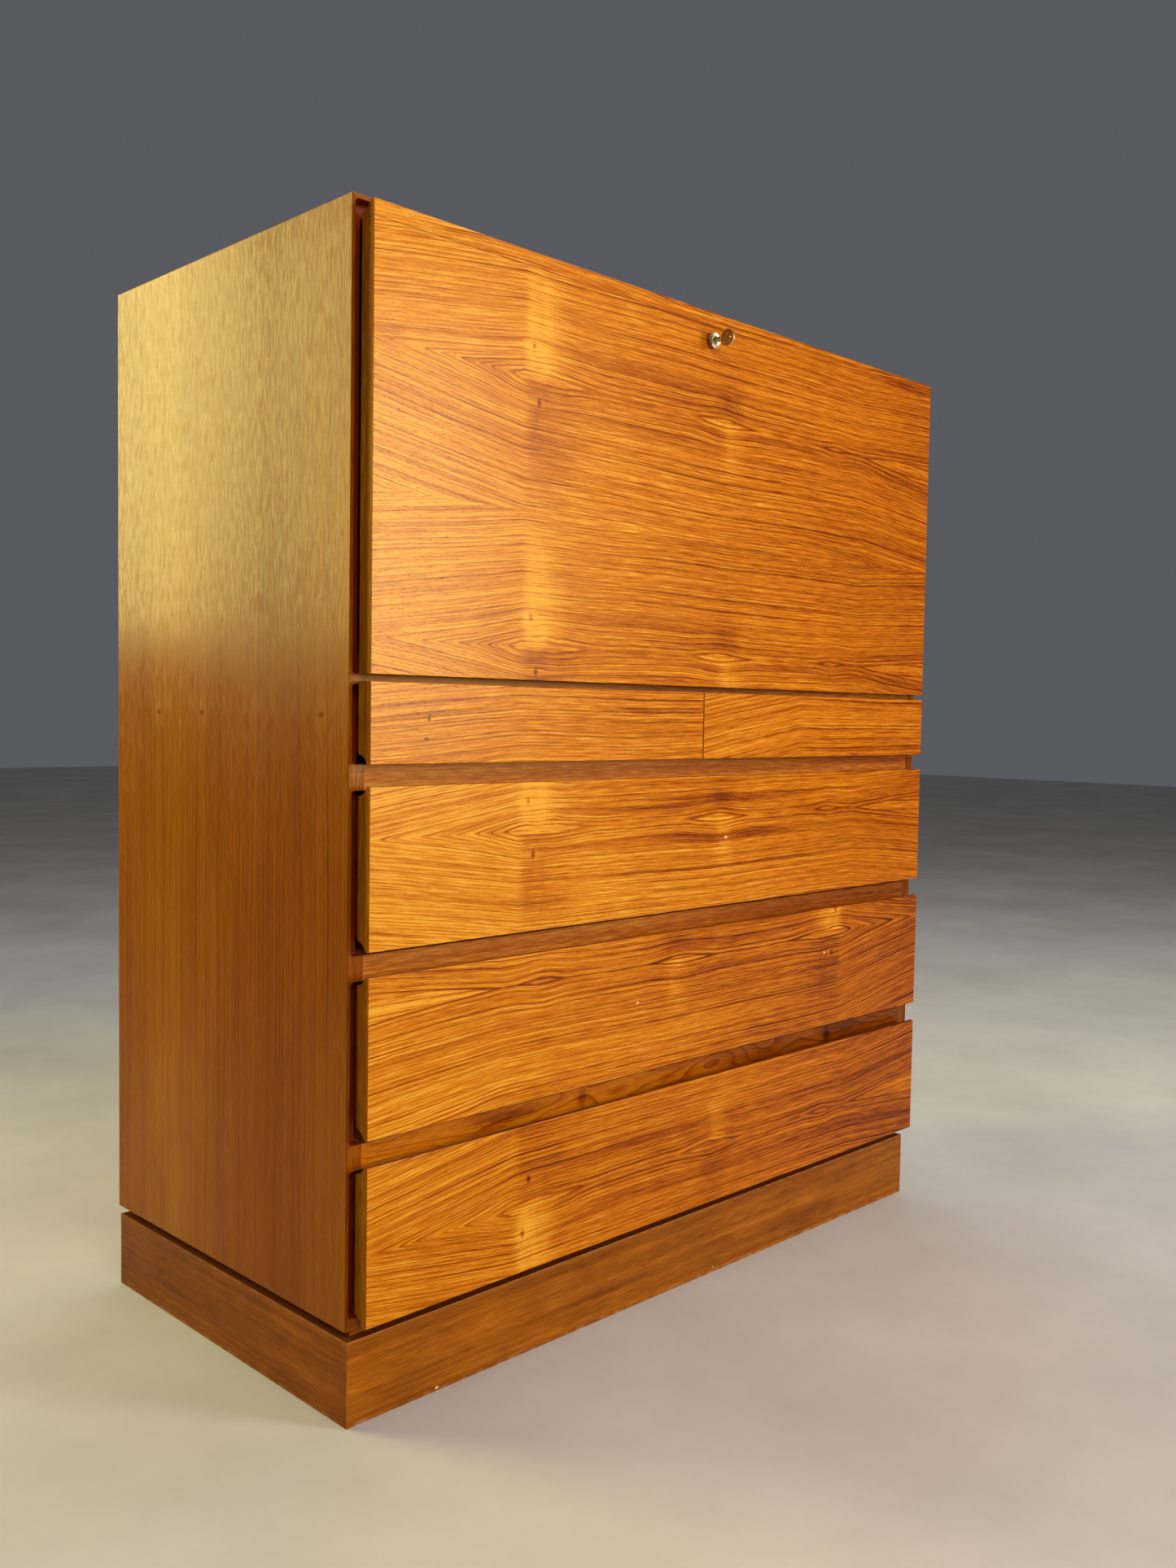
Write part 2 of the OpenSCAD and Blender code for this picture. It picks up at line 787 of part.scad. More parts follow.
module carcass_screws() {
    color(steel) desk() {
        both_sides() {
            for (x = [-8, 8]) translate([hinge_x + x, 20, desk_top]) mirror([0, 0, 1]) screw(14);
            for (z = [-16, 16]) translate([inner_x - 2, guide_y, guide_z + z]) rotate([0, 90, 0])
                screw(14);
        }
        for (x = [-10, 10]) translate([x, 30, top_z - 2]) screw(14);
    }
}

module flap_screws() {
    color(steel) desk() {
        both_sides() {
            for (x = [-8, 8]) translate([hinge_x + x, front_y1, leaf_z + 26]) rotate([90, 0, 0])
                screw(14);
            for (z = [-11, 11]) translate([bar_x0 - 14, front_y1 + 2, bar_z + z])
                rotate([90, 0, 0]) screw(14);
        }
        for (x = [-case_half_w - 4.5, case_half_w + 4.5], z = [case_z0 + 8, case_z1 - 8])
            translate([x, front_y1 + case_t, z]) rotate([90, 0, 0]) screw(13);
    }
}

// ---- drawers ----

// The overlay front, with housings for the box sides and a groove for the bottom
module drawer_front(front_x, box_x, z, h, box, top_cove) {
    color(teak_front) desk() difference() {
        front_board(front_x[0], front_x[1], z, z + h, top_cove, true);
        for (x = [box_x[0], box_x[1] - box_t])
            block([x, front_y1 - housing_d, box[0]], [x + box_t, 1, box[1]]);
        block([box_x[0] + box_t, front_y1 - bottom_let_in, box[0] + bottom_rise],
            [box_x[1] - box_t, 1, box[0] + bottom_rise + bottom_t]);
    }
}

// Two sides, grooved for the runners and the bottom, and a back
module drawer_box(box_x, box) {
    groove_z = (box[0] + box[1] - runner_h) / 2 - runner_play;
    groove_h = runner_h + 2 * runner_play;
    bottom_z = box[0] + bottom_rise;
    color(pale_wood) desk() {
        difference() {
            for (x = [box_x[0], box_x[1] - box_t])
                block([x, front_y1 - housing_d, box[0]], [x + box_t, box_d, box[1]]);
            for (x = [box_x[0] - 1, box_x[1] - groove_d])
                translate([x, front_y1, groove_z]) cube([groove_d + 1, box_d + 1, groove_h]);
            block([box_x[0] + box_t - bottom_let_in, front_y1 - bottom_let_in, bottom_z],
                [box_x[1] - box_t + bottom_let_in, box_d + 1, bottom_z + bottom_t]);
        }
        block([box_x[0] + box_t + glue_line, box_d - box_t, bottom_z + bottom_t],
            [box_x[1] - box_t - glue_line, box_d, box[1]]);
    }
}

module drawer_bottom(box_x, box) {
    z = box[0] + bottom_rise;
    color(pale_wood) desk() block([box_x[0] + box_t - bottom_let_in, front_y1 - bottom_let_in, z],
        [box_x[1] - box_t + bottom_let_in, box_d, z + bottom_t]);
}

module small_left_front() {
    drawer_front(left_front_x, left_box_x, small_z, small_h, small_box, false);
}

module small_left_box() {
    drawer_box(left_box_x, small_box);
}

module small_left_bottom() {
    drawer_bottom(left_box_x, small_box);
}

module small_right_front() {
    drawer_front(right_front_x, right_box_x, small_z, small_h, small_box, false);
}

module small_right_box() {
    drawer_box(right_box_x, small_box);
}

module small_right_bottom() {
    drawer_bottom(right_box_x, small_box);
}

module drawer_1_front() {
    drawer_front(large_front_x, large_box_x, large_z1, large_h, box_1, true);
}

module drawer_1_box() {
    drawer_box(large_box_x, box_1);
}

module drawer_1_bottom() {
    drawer_bottom(large_box_x, box_1);
}

module drawer_2_front() {
    drawer_front(large_front_x, large_box_x, large_z2, large_h, box_2, true);
}

module drawer_2_box() {
    drawer_box(large_box_x, box_2);
}

module drawer_2_bottom() {
    drawer_bottom(large_box_x, box_2);
}

module drawer_3_front() {
    drawer_front(large_front_x, large_box_x, large_z3, large_h, box_3, true);
}

module drawer_3_box() {
    drawer_box(large_box_x, box_3);
}

module drawer_3_bottom() {
    drawer_bottom(large_box_x, box_3);
}

side_left();
side_right();
top_panel();
bottom_panel();
back_panel();
desk_floor();
upper_rail();
drawer_rail_1();
drawer_rail_2();
drawer_rail_3();
drawer_divider();
runners_left();
runners_right();
runners_divider();
plinth_front();
plinth_back();
plinth_left();
plinth_right();
spacer_strips();
plinth_corner_blocks();
pigeonhole_sides();
pigeonhole_shelf();
upper_dividers();
lower_dividers();
flap_stops();
hinge_brackets();
hinge_pins();
guide_mounts();
strike_plate();
carcass_screws();
flap_panel();
flap_lipping();
hinge_leaves();
stay_brackets();
lock_case();
lock_barrel();
flap_screws();
lock_plug();
key();
lock_bolt();
stay_bar_left();
stay_bar_right();
stay_guide_left();
stay_guide_right();
small_left_front();
small_left_box();
small_left_bottom();
small_right_front();
small_right_box();
small_right_bottom();
drawer_1_front();
drawer_1_box();
drawer_1_bottom();
drawer_2_front();
drawer_2_box();
drawer_2_bottom();
drawer_3_front();
drawer_3_box();
drawer_3_bottom();
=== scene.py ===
"""Looks of the drop-front teak secretary desk: veneers, solid wood, metals, lock and key.

Everything is in metres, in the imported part's frame: x along the front, y towards the back, z up.
"""

import math

import bmesh
import bpy
from mathutils import Matrix, Vector


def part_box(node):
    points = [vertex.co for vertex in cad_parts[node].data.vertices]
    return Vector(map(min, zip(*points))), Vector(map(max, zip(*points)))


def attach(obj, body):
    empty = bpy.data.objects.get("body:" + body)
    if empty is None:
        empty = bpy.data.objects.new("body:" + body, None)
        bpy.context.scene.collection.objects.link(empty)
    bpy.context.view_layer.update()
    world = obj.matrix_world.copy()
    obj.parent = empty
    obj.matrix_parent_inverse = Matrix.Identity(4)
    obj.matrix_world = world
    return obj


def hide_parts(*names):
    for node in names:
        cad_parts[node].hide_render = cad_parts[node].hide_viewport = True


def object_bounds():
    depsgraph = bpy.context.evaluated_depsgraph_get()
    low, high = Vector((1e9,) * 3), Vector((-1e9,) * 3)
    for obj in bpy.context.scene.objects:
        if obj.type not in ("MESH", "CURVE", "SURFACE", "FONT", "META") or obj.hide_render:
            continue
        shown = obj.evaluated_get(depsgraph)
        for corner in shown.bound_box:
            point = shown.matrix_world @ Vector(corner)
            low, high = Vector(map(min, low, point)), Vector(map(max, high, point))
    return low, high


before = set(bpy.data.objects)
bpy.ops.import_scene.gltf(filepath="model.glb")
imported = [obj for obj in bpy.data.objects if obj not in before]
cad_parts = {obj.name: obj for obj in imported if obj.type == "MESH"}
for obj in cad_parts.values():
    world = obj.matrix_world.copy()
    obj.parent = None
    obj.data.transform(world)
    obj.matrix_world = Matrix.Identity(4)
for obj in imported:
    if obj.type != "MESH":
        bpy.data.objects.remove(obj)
cad_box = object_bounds()

X, Y, Z = 0, 1, 2
MM = 0.001

# The camera: where it stands, its turns in degrees, and its lens for a sensor of this long side
CAMERA_AT = Vector((-1.2484, -1.2818, 0.6990))
CAMERA_TURN = -45.02
CAMERA_PITCH = -2.93
CAMERA_ROLL = 0.91
CAMERA_LENS = 31.34
CAMERA_SENSOR = 36.0

# Colours are linear. A wood's ramp runs from its darkest growth line to its palest wood
TEAK = ((0.0, (0.085, 0.011, 0.0005)), (0.28, (0.240, 0.040, 0.0008)),
        (0.52, (0.430, 0.100, 0.0015)), (0.74, (0.600, 0.175, 0.0035)),
        (1.0, (0.780, 0.350, 0.0270)))
TEAK_SIDE = ((0.0, (0.080, 0.012, 0.0001)), (0.30, (0.180, 0.034, 0.0002)),
             (0.55, (0.270, 0.064, 0.0003)), (0.78, (0.370, 0.110, 0.0005)),
             (1.0, (0.500, 0.200, 0.0030)))
TEAK_RED = ((0.0, (0.045, 0.006, 0.0004)), (0.30, (0.150, 0.025, 0.0006)),
            (0.55, (0.290, 0.055, 0.0010)), (0.78, (0.420, 0.100, 0.0030)),
            (1.0, (0.580, 0.200, 0.0200)))
TEAK_DARK = ((0.0, (0.045, 0.007, 0.0005)), (0.30, (0.150, 0.032, 0.0008)),
             (0.55, (0.270, 0.068, 0.0013)), (0.78, (0.400, 0.115, 0.0040)),
             (1.0, (0.560, 0.210, 0.0200)))
TEAK_INSIDE = ((0.0, (0.085, 0.020, 0.0020)), (0.30, (0.240, 0.070, 0.0060)),
               (0.55, (0.400, 0.140, 0.0130)), (0.78, (0.520, 0.215, 0.0300)),
               (1.0, (0.670, 0.330, 0.0700)))
PALE = ((0.0, (0.26, 0.140, 0.055)), (0.30, (0.46, 0.290, 0.140)),
        (0.60, (0.60, 0.415, 0.225)), (1.0, (0.74, 0.560, 0.350)))
FLOOR_PALE = ((0.3, (0.52, 0.485, 0.425)), (0.7, (0.66, 0.62, 0.545)))
# The finger rebates' dark red-brown: partly the solid teak's redder colour, partly painted shade of
# the deep recess
REBATE = (0.290, 0.028, 0.0010)
JOINT = (0.110, 0.024, 0.0020)
RUST = (0.17, 0.040, 0.003)
NICK = (0.80, 0.55, 0.33)
# Pale scuffs near the floor, and the painted highlight along the plinth's top edge
SCUFF_AND_HIGHLIGHT = (0.52, 0.27, 0.11)
# Dark colour of the plinth's top faces: painted shade of the shadow gap
GAP_PAINTED_SHADE = (0.150, 0.030, 0.0010)
GRIME = (0.06, 0.035, 0.02)
WORLD = (0.098, 0.103, 0.115, 1.0)


# ---- building node trees ----

class Tree:
    """One material's node tree, with short ways to add nodes and join them."""

    def __init__(self, name):
        self.material = bpy.data.materials.new(name)
        self.material.use_nodes = True
        self.tree = self.material.node_tree
        self.shader = self.tree.nodes["Principled BSDF"]
        coordinates = self.add("ShaderNodeTexCoord")
        self.place = coordinates.outputs["Object"]
        self.normal = coordinates.outputs["Normal"]
        self.axes = self.split(self.place)

    def add(self, kind, **settings):
        node = self.tree.nodes.new(kind)
        for key, value in settings.items():
            setattr(node, key, value)
        return node

    def feed(self, socket, value):
        if isinstance(value, bpy.types.NodeSocket):
            self.tree.links.new(value, socket)
        else:
            socket.default_value = value

    def math(self, operation, *values):
        node = self.add("ShaderNodeMath", operation=operation)
        for socket, value in zip(node.inputs, values):
            self.feed(socket, value)
        return node.outputs[0]

    def plus(self, *values):
        total = values[0]
        for value in values[1:]:
            total = self.math("ADD", total, value)
        return total

    def times(self, *values):
        total = values[0]
        for value in values[1:]:
            total = self.math("MULTIPLY", total, value)
        return total

    def minus(self, a, b):
        return self.math("SUBTRACT", a, b)

    def swing(self, value, weight):
        """How far a noise is from its middle, times a weight."""
        return self.times(self.minus(value, 0.5), weight)

    def split(self, vector):
        node = self.add("ShaderNodeSeparateXYZ")
        self.feed(node.inputs[0], vector)
        return list(node.outputs)

    def join(self, x, y, z):
        node = self.add("ShaderNodeCombineXYZ")
        for socket, value in zip(node.inputs, (x, y, z)):
            self.feed(socket, value)
        return node.outputs[0]

    def step(self, value, low, high):
        """0 below low and 1 above high, smooth between; low may be the larger."""
        node = self.add("ShaderNodeMapRange", interpolation_type="SMOOTHSTEP")
        flip = low > high
        self.feed(node.inputs["Value"], value)
        self.feed(node.inputs["From Min"], min(low, high))
        self.feed(node.inputs["From Max"], max(low, high))
        self.feed(node.inputs["To Min"], 1.0 if flip else 0.0)
        self.feed(node.inputs["To Max"], 0.0 if flip else 1.0)
        return node.outputs[0]

    def ease_in(self, value, low, high):
        """0 at low, rising evenly to 1 at high; low may be the larger."""
        node = self.add("ShaderNodeMapRange")
        self.feed(node.inputs["Value"], value)
        self.feed(node.inputs["From Min"], low)
        self.feed(node.inputs["From Max"], high)
        return node.outputs[0]

    def noise(self, vector, scale=1.0, detail=2.0, rough=0.5):
        node = self.add("ShaderNodeTexNoise")
        self.feed(node.inputs["Vector"], vector)
        self.feed(node.inputs["Scale"], scale)
        self.feed(node.inputs["Detail"], detail)
        self.feed(node.inputs["Roughness"], rough)
        return node.outputs[0]

    def grain(self, u, v, scales, layer, detail=2.0, rough=0.5):
        """Noise stretched along the grain, by its scales along u and along v."""
        vector = self.join(self.times(u, scales[0]), self.times(v, scales[1]), layer)
        return self.noise(vector, 1.0, detail, rough)

    def noise_line(self, value, scale, detail=1.0):
        """Noise along one number."""
        node = self.add("ShaderNodeTexNoise", noise_dimensions="1D")
        self.feed(node.inputs["W"], value)
        self.feed(node.inputs["Scale"], scale)
        self.feed(node.inputs["Detail"], detail)
        return node.outputs[0]

    def ramp(self, value, stops):
        node = self.add("ShaderNodeValToRGB")
        elements = node.color_ramp.elements
        while len(elements) < len(stops):
            elements.new(0.5)
        for element, (position, colour) in zip(elements, stops):
            element.position = position
            element.color = (*colour, 1.0)
        self.feed(node.inputs[0], value)
        return node.outputs[0]

    def mix(self, factor, a, b):
        """A colour between a and b."""
        node = self.add("ShaderNodeMix", data_type="RGBA")
        self.feed(node.inputs["Factor"], factor)
        for socket, value in ((node.inputs["A"], a), (node.inputs["B"], b)):
            self.feed(socket, (*value, 1.0) if isinstance(value, tuple) else value)
        return node.outputs["Result"]

    def blend(self, factor, a, b):
        """A number between a and b."""
        node = self.add("ShaderNodeMix", data_type="FLOAT")
        for key, value in (("Factor", factor), ("A", a), ("B", b)):
            self.feed(node.inputs[key], value)
        return node.outputs["Result"]

    def bump(self, height, distance, strength):
        node = self.add("ShaderNodeBump")
        self.feed(node.inputs["Strength"], strength)
        self.feed(node.inputs["Distance"], distance)
        self.feed(node.inputs["Height"], height)
        self.feed(self.shader.inputs["Normal"], node.outputs[0])

    def set(self, **values):
        for key, value in values.items():
            self.feed(self.shader.inputs[key.replace("_", " ")], value)


def near_spot(tree, u, v, spot, long, tall):
    """1 at a spot of the given reach, falling to 0 round it."""
    du = tree.math("DIVIDE", tree.minus(u, spot[0]), long)
    dv = tree.math("DIVIDE", tree.minus(v, spot[1]), tall)
    square = tree.plus(tree.times(du, du), tree.times(dv, dv))
    return tree.math("DIVIDE", 1.0, tree.plus(1.0, tree.times(square, square)))


def facing(tree, axis, low=0.55, high=0.85):
    """1 where the surface faces along an axis, to either side."""
    return tree.step(tree.math("ABSOLUTE", tree.split(tree.normal)[axis]), low, high)


# ---- veneer ----

class Leaf:
    """How a sheet of veneer was sliced: u runs along the grain and v across it, from the heart.

    width, match: a leaf's width; its neighbour repeats it ("slip") or mirrors it ("book")
    closing, opening: how far the lines close on the heart at the left end and part at the right
    aside: how far from the heart the sheet was sliced
    ring: the width of a growth ring
    contrast, clouds: the strength of all markings, and of broad patches
    slope, tilt: how much paler the wood gets across one leaf, and from leaf to leaf
    knots, bands, lenses: single markings, as CROWN shows them
    """

    def __init__(self, width=0.278, match="slip", closing=0.030, opening=0.017, aside=0.0,
                 ring=0.0046, contrast=1.0, clouds=0.26, slope=0.0, tilt=0.0, knots=(), bands=(),
                 lenses=()):
        self.width = width
        self.match = match
        self.closing = closing
        self.opening = opening
        self.aside = aside
        self.ring = ring
        self.contrast = contrast
        self.clouds = clouds
        self.slope = slope
        self.tilt = tilt
        self.knots = knots
        self.bands = bands
        self.lenses = lenses


# Crown-cut: going right, the lines part from the heart near the left end and again near the right.
# A knot is its place. A band is where it rises and falls along u, the side of the heart it lies on,
# how pale it is and how far it reaches; its paleness is partly the veneer's figure and partly its
# chatoyant sheen, painted in. A lens, where the lines bulge, is its u, reach and height
CROWN = Leaf(
    knots=((0.2025, 0.030), (0.2105, -0.027)),
    bands=(
        (0.184, 0.204, 0.214, 0.262, 1, 0.28, 0.150),
        (0.186, 0.204, 0.216, 0.300, -1, -0.16, 0.150),
        (0.498, 0.524, 0.524, 0.556, -1, 0.20, 0.085),
        (0.480, 0.515, 0.526, 0.560, 1, -0.12, 0.080),
    ),
    lenses=((0.215, 0.100, 0.0060), (0.513, 0.070, 0.0046), (0.742, 0.040, 0.0028)),
)
CALM = Leaf(width=0.50, closing=0.016, opening=0.004)
SLANTED = Leaf(width=0.50, closing=0.034, opening=0.0)
# Nearly straight: sliced well to one side of the heart
STRAIGHT = Leaf(width=0.162, match="book", closing=0.0, opening=0.0, aside=0.16, ring=0.0050,
                contrast=0.42, clouds=0.9, slope=0.14, tilt=0.06, knots=((0.598, 0.114),))
PLAIN = Leaf(width=0.24, match="book", aside=0.10, contrast=0.7)

# Each noise's scales along the grain and across it
SLOW = (1.7, 5.0)
QUICK = (8.0, 45.0)
UNEVEN = (26.0, 90.0)
PATCHES = (3.0, 75.0)
STREAKS = (3.5, 640.0)
FLECK = (30.0, 900.0)
PORES = (150.0, 2300.0)
BLOTCH = (3.0, 9.0)
RIPPLE = (60.0, 14.0)
MOTTLE = (50.0, 370.0)

# Where the growth lines run: how far they wander, how far and how hard a knot draws them in, how
# round they are over the heart, where along u they close and part, and how near it they bulge
SLOW_WANDER = 0.024
QUICK_WANDER = 0.0018
KNOT_REACH = (0.020, 0.008)
KNOT_PULL = -0.45
HEART_ROUNDING = 0.0014
LEFT_END = (0.19, -0.02)
RIGHT_END = (0.80, 1.0)
BULGING = (0.045, 0.006)
# The heart's own wood: its edge, the spacing of its lines, and its dark outline
HEART_EDGE = (0.0002, -0.0002)
HEART_LINES = 0.7
OUTLINE_AT = 0.0004
OUTLINE = (0.0014, 0.0004)
# Added to each growth line's radius, so that none is negative
RADIUS_MARGIN = 0.08

# Fine rings, and stronger season lines with their halo: how many there are to a metre, how many
# rings they wander by, the power that sharpens them and where in its ring each one's end begins
RING_SWING = 2.6
RING_POWER, RING_END = 5.0, 0.94
SEASONS = 80.0
SEASON_SWING = 1.9
SEASON_POWER, SEASON_END = 7.0, 0.955
HALO_POWER, HALO = 3.0, 0.18

# A point's lightness: its middle, what each noise adds round it and what each marking adds
LEAF_LIGHT = 0.685
NOISES = (("zones", 0.22), ("streaks", 0.85), ("fleck", 1.05))
RINGS_DARK = -0.60
MARKINGS = (("lines", -0.42), ("pores", -0.26), ("heartwood", 0.10))
# A knot's reach along u and v, and how pale it is; then the wood round it
KNOT_MARKS = ((0.0024, 0.0036, -0.55), (0.016, 0.007, 0.14))
# A band's edge at the heart line, and from where on in its reach it fades
BAND_EDGE = (-0.004, 0.010)
BAND_FADES = 0.3


def leaf_and_place(tree, leaf, v):
    """The number of the leaf that a point is on, and the point's v on that leaf."""
    if leaf.match == "slip":
        index = tree.math("FLOOR", tree.plus(tree.times(v, 1 / leaf.width), 0.5))
        return index, tree.math("WRAP", v, leaf.width / 2, -leaf.width / 2)
    index = tree.math("FLOOR", tree.times(v, 1 / leaf.width))
    return index, tree.math("PINGPONG", v, leaf.width)


def bent_lines(tree, leaf, u, v, layer):
    """How far a point is from the heart line, with a sign, and which growth line it is on.

    The growth line's number is 0 at the outline of the heart's own wood.
    """
    slow = tree.grain(u, v, SLOW, layer)
    quick = tree.grain(u, v, QUICK, layer)
    wave = tree.plus(v, tree.swing(slow, SLOW_WANDER), tree.swing(quick, QUICK_WANDER))
    for place in leaf.knots:
        pull = tree.times(near_spot(tree, u, v, place, *KNOT_REACH), KNOT_PULL)
        wave = tree.plus(wave, tree.times(tree.minus(v, place[1]), pull))
    wave = tree.plus(wave, leaf.aside)
    heart = tree.math("SQRT", tree.plus(tree.times(wave, wave), HEART_ROUNDING ** 2))
    core = tree.plus(
        heart,
        tree.times(tree.ease_in(u, *LEFT_END), leaf.closing),
        tree.times(tree.ease_in(u, *RIGHT_END), -leaf.opening),
    )
    uneven = tree.grain(u, v, UNEVEN, layer)
    close = tree.step(heart, *BULGING)
    for at, reach, rise in leaf.lenses:
        away = tree.math("ABSOLUTE", tree.minus(u, at))
        bulge = tree.times(tree.step(away, reach, 0.0), close,
                           tree.plus(0.4, tree.times(uneven, 1.2)))
        core = tree.minus(core, tree.times(bulge, rise))
    return wave, core


def ring_line(tree, phase, power, end):
    """A line that darkens slowly over its ring, then ends quickly."""
    return tree.times(tree.math("POWER", phase, power), tree.step(phase, 1.0, end))


def growth(tree, leaf, u, v, seed):
    """A point's v on its leaf, the leaf's change of light there, and its markings from 0 to 1."""
    index, v = leaf_and_place(tree, leaf, v)
    layer = tree.plus(tree.times(index, 0.17), seed)
    wave, core = bent_lines(tree, leaf, u, v, layer)
    inside = tree.step(core, *HEART_EDGE)
    radius = tree.plus(tree.blend(inside, core, tree.times(wave, HEART_LINES)), RADIUS_MARGIN)

    swing = tree.noise_line(tree.plus(radius, seed), 45.0)
    ring = tree.math("FRACT", tree.plus(tree.times(radius, 1 / leaf.ring),
                                        tree.times(swing, RING_SWING)))
    strength = tree.step(tree.noise_line(tree.plus(radius, 3.3 * seed), 150.0), 0.36, 0.66)
    rings = tree.times(ring_line(tree, ring, RING_POWER, RING_END),
                       tree.plus(0.30, tree.times(strength, 1.3)))

    season = tree.math("FRACT", tree.plus(tree.times(radius, SEASONS),
                                          tree.times(swing, SEASON_SWING)))
    dark = ring_line(tree, season, SEASON_POWER, SEASON_END)
    halo = tree.math("POWER", season, HALO_POWER)
    # The two sides of the heart have their own noise
    half = tree.plus(layer, tree.times(tree.math("GREATER_THAN", wave, 0.0), 0.37))
    patchy = tree.grain(u, radius, PATCHES, half)
    strong = tree.step(patchy, 0.40, 0.62)
    prominent = tree.times(tree.plus(dark, tree.times(halo, HALO)), tree.plus(0.15, strong))
    outline = tree.step(tree.math("ABSOLUTE", tree.minus(core, OUTLINE_AT)), *OUTLINE)
    return {
        "v": v,
        "across": tree.plus(tree.swing(tree.times(v, 1 / leaf.width), leaf.slope),
                            tree.times(index, leaf.tilt)),
        "rings": rings,
        "lines": tree.math("MAXIMUM", prominent, tree.times(outline, tree.plus(patchy, 0.20))),
        "heartwood": inside,
        "zones": tree.noise_line(tree.plus(radius, seed + 7.7), 26.0, 3.0),
        "streaks": tree.grain(u, radius, STREAKS, half, rough=0.6),
        "fleck": tree.grain(u, radius, FLECK, half, rough=0.6),
        "pores": tree.step(tree.grain(u, v, PORES, half, detail=1.0), 0.60, 0.74),
        "blotch": tree.grain(u, v, BLOTCH, layer),
        "ripple": tree.grain(u, v, RIPPLE, layer),
        "mottle": tree.grain(u, v, MOTTLE, layer, detail=1.0),
    }


def leaf_light(tree, leaf, u, parts):
    """How pale the veneer is at each point, from 0 to 1."""
    v = parts["v"]
    light = tree.plus(
        *(tree.swing(parts[name], weight) for name, weight in NOISES),
        tree.swing(parts["blotch"], leaf.clouds),
        tree.times(parts["rings"], tree.plus(0.20, parts["streaks"]), RINGS_DARK),
        *(tree.times(parts[name], weight) for name, weight in MARKINGS),
    )
    light = tree.plus(LEAF_LIGHT, tree.times(light, leaf.contrast), parts["across"])
    # Bands: partly the veneer's figure, partly its chatoyant sheen painted in as paler and darker
    # wood
    for rise0, rise1, fall0, fall1, side, pale, reach in leaf.bands:
        along = tree.times(tree.step(u, rise0, rise1), tree.step(u, fall1, fall0))
        away = tree.times(v, side)
        across = tree.times(tree.step(away, *BAND_EDGE),
                            tree.step(away, reach, BAND_FADES * reach))
        ripple = tree.plus(0.30, tree.times(parts["ripple"], 1.4))
        light = tree.plus(light, tree.times(along, across, ripple, pale))
    for place in leaf.knots:
        for long, tall, paler in KNOT_MARKS:
            spot = near_spot(tree, u, v, place, long, tall)
            light = tree.plus(light, tree.times(spot, paler))
    return light


# ---- wood's finish, and whole wood materials ----

# Solid wood's middle lightness, and what it gains on a veneered board's edges and a front's ends
SOLID_LIGHT = 0.52
EDGE_LIGHT = -0.10
FRONT_END_LIGHT = 0.18
# A finger rebate from its edge: where its hollow starts, where it ends, and its outer lip
HOLLOW_STARTS = (0.0006, 0.0018)
HOLLOW_ENDS = (0.0150, 0.0136)
OUTER_LIP = (0.0012, 0.0026)
# A satin finish: its roughness, its IOR, the warm tint of its gloss and how deep its grain is
SATIN_ROUGH = 0.24
SATIN_IOR = 1.25
SATIN_TINT = (1.0, 0.86, 0.38, 1.0)
GRAIN_DEPTH = 0.05 * MM


def solid_light(tree, along, across, seed, scale=1.0):
    """How pale solid wood is, with its grain along one axis, and its flecks."""
    third = 3 - along - across
    u, v, w = tree.axes[along], tree.axes[across], tree.axes[third]
    stripe = 90.0 * scale
    stripes = tree.grain(u, v, (2.5, stripe), tree.plus(tree.times(w, stripe), seed), detail=3.0)
    fleck = tree.grain(u, v, (40.0, 650.0), tree.times(w, 650.0))
    tone = tree.grain(u, v, (1.5, 9.0), tree.plus(w, seed))
    light = tree.plus(SOLID_LIGHT, tree.swing(stripes, 1.05), tree.swing(fleck, 0.95),
                      tree.swing(tone, 0.40))
    return light, fleck


def satin(tree, colour, fleck, dents, roughness=SATIN_ROUGH, gloss=SATIN_IOR):
    """An oiled satin finish over a wood colour, with the open grain in its bump."""
    tree.set(
        Base_Color=colour,
        Roughness=tree.plus(tree.swing(fleck, 0.16), roughness),
        IOR=gloss,
        Specular_Tint=SATIN_TINT,
    )
    tree.bump(tree.minus(tree.times(fleck, 0.5), dents), GRAIN_DEPTH, 0.6)


def inside_rebate(tree, corner_y, outer_axis, outer):
    """1 in the finger rebate behind a front edge, 0 on the edge's outer lip and faces."""
    depth = tree.minus(tree.axes[Y], corner_y)
    deep = tree.times(tree.step(depth, *HOLLOW_STARTS), tree.step(depth, *HOLLOW_ENDS))
    inward = tree.math("ABSOLUTE", tree.minus(tree.axes[outer_axis], outer))
    return tree.times(deep, tree.step(inward, *OUTER_LIP))


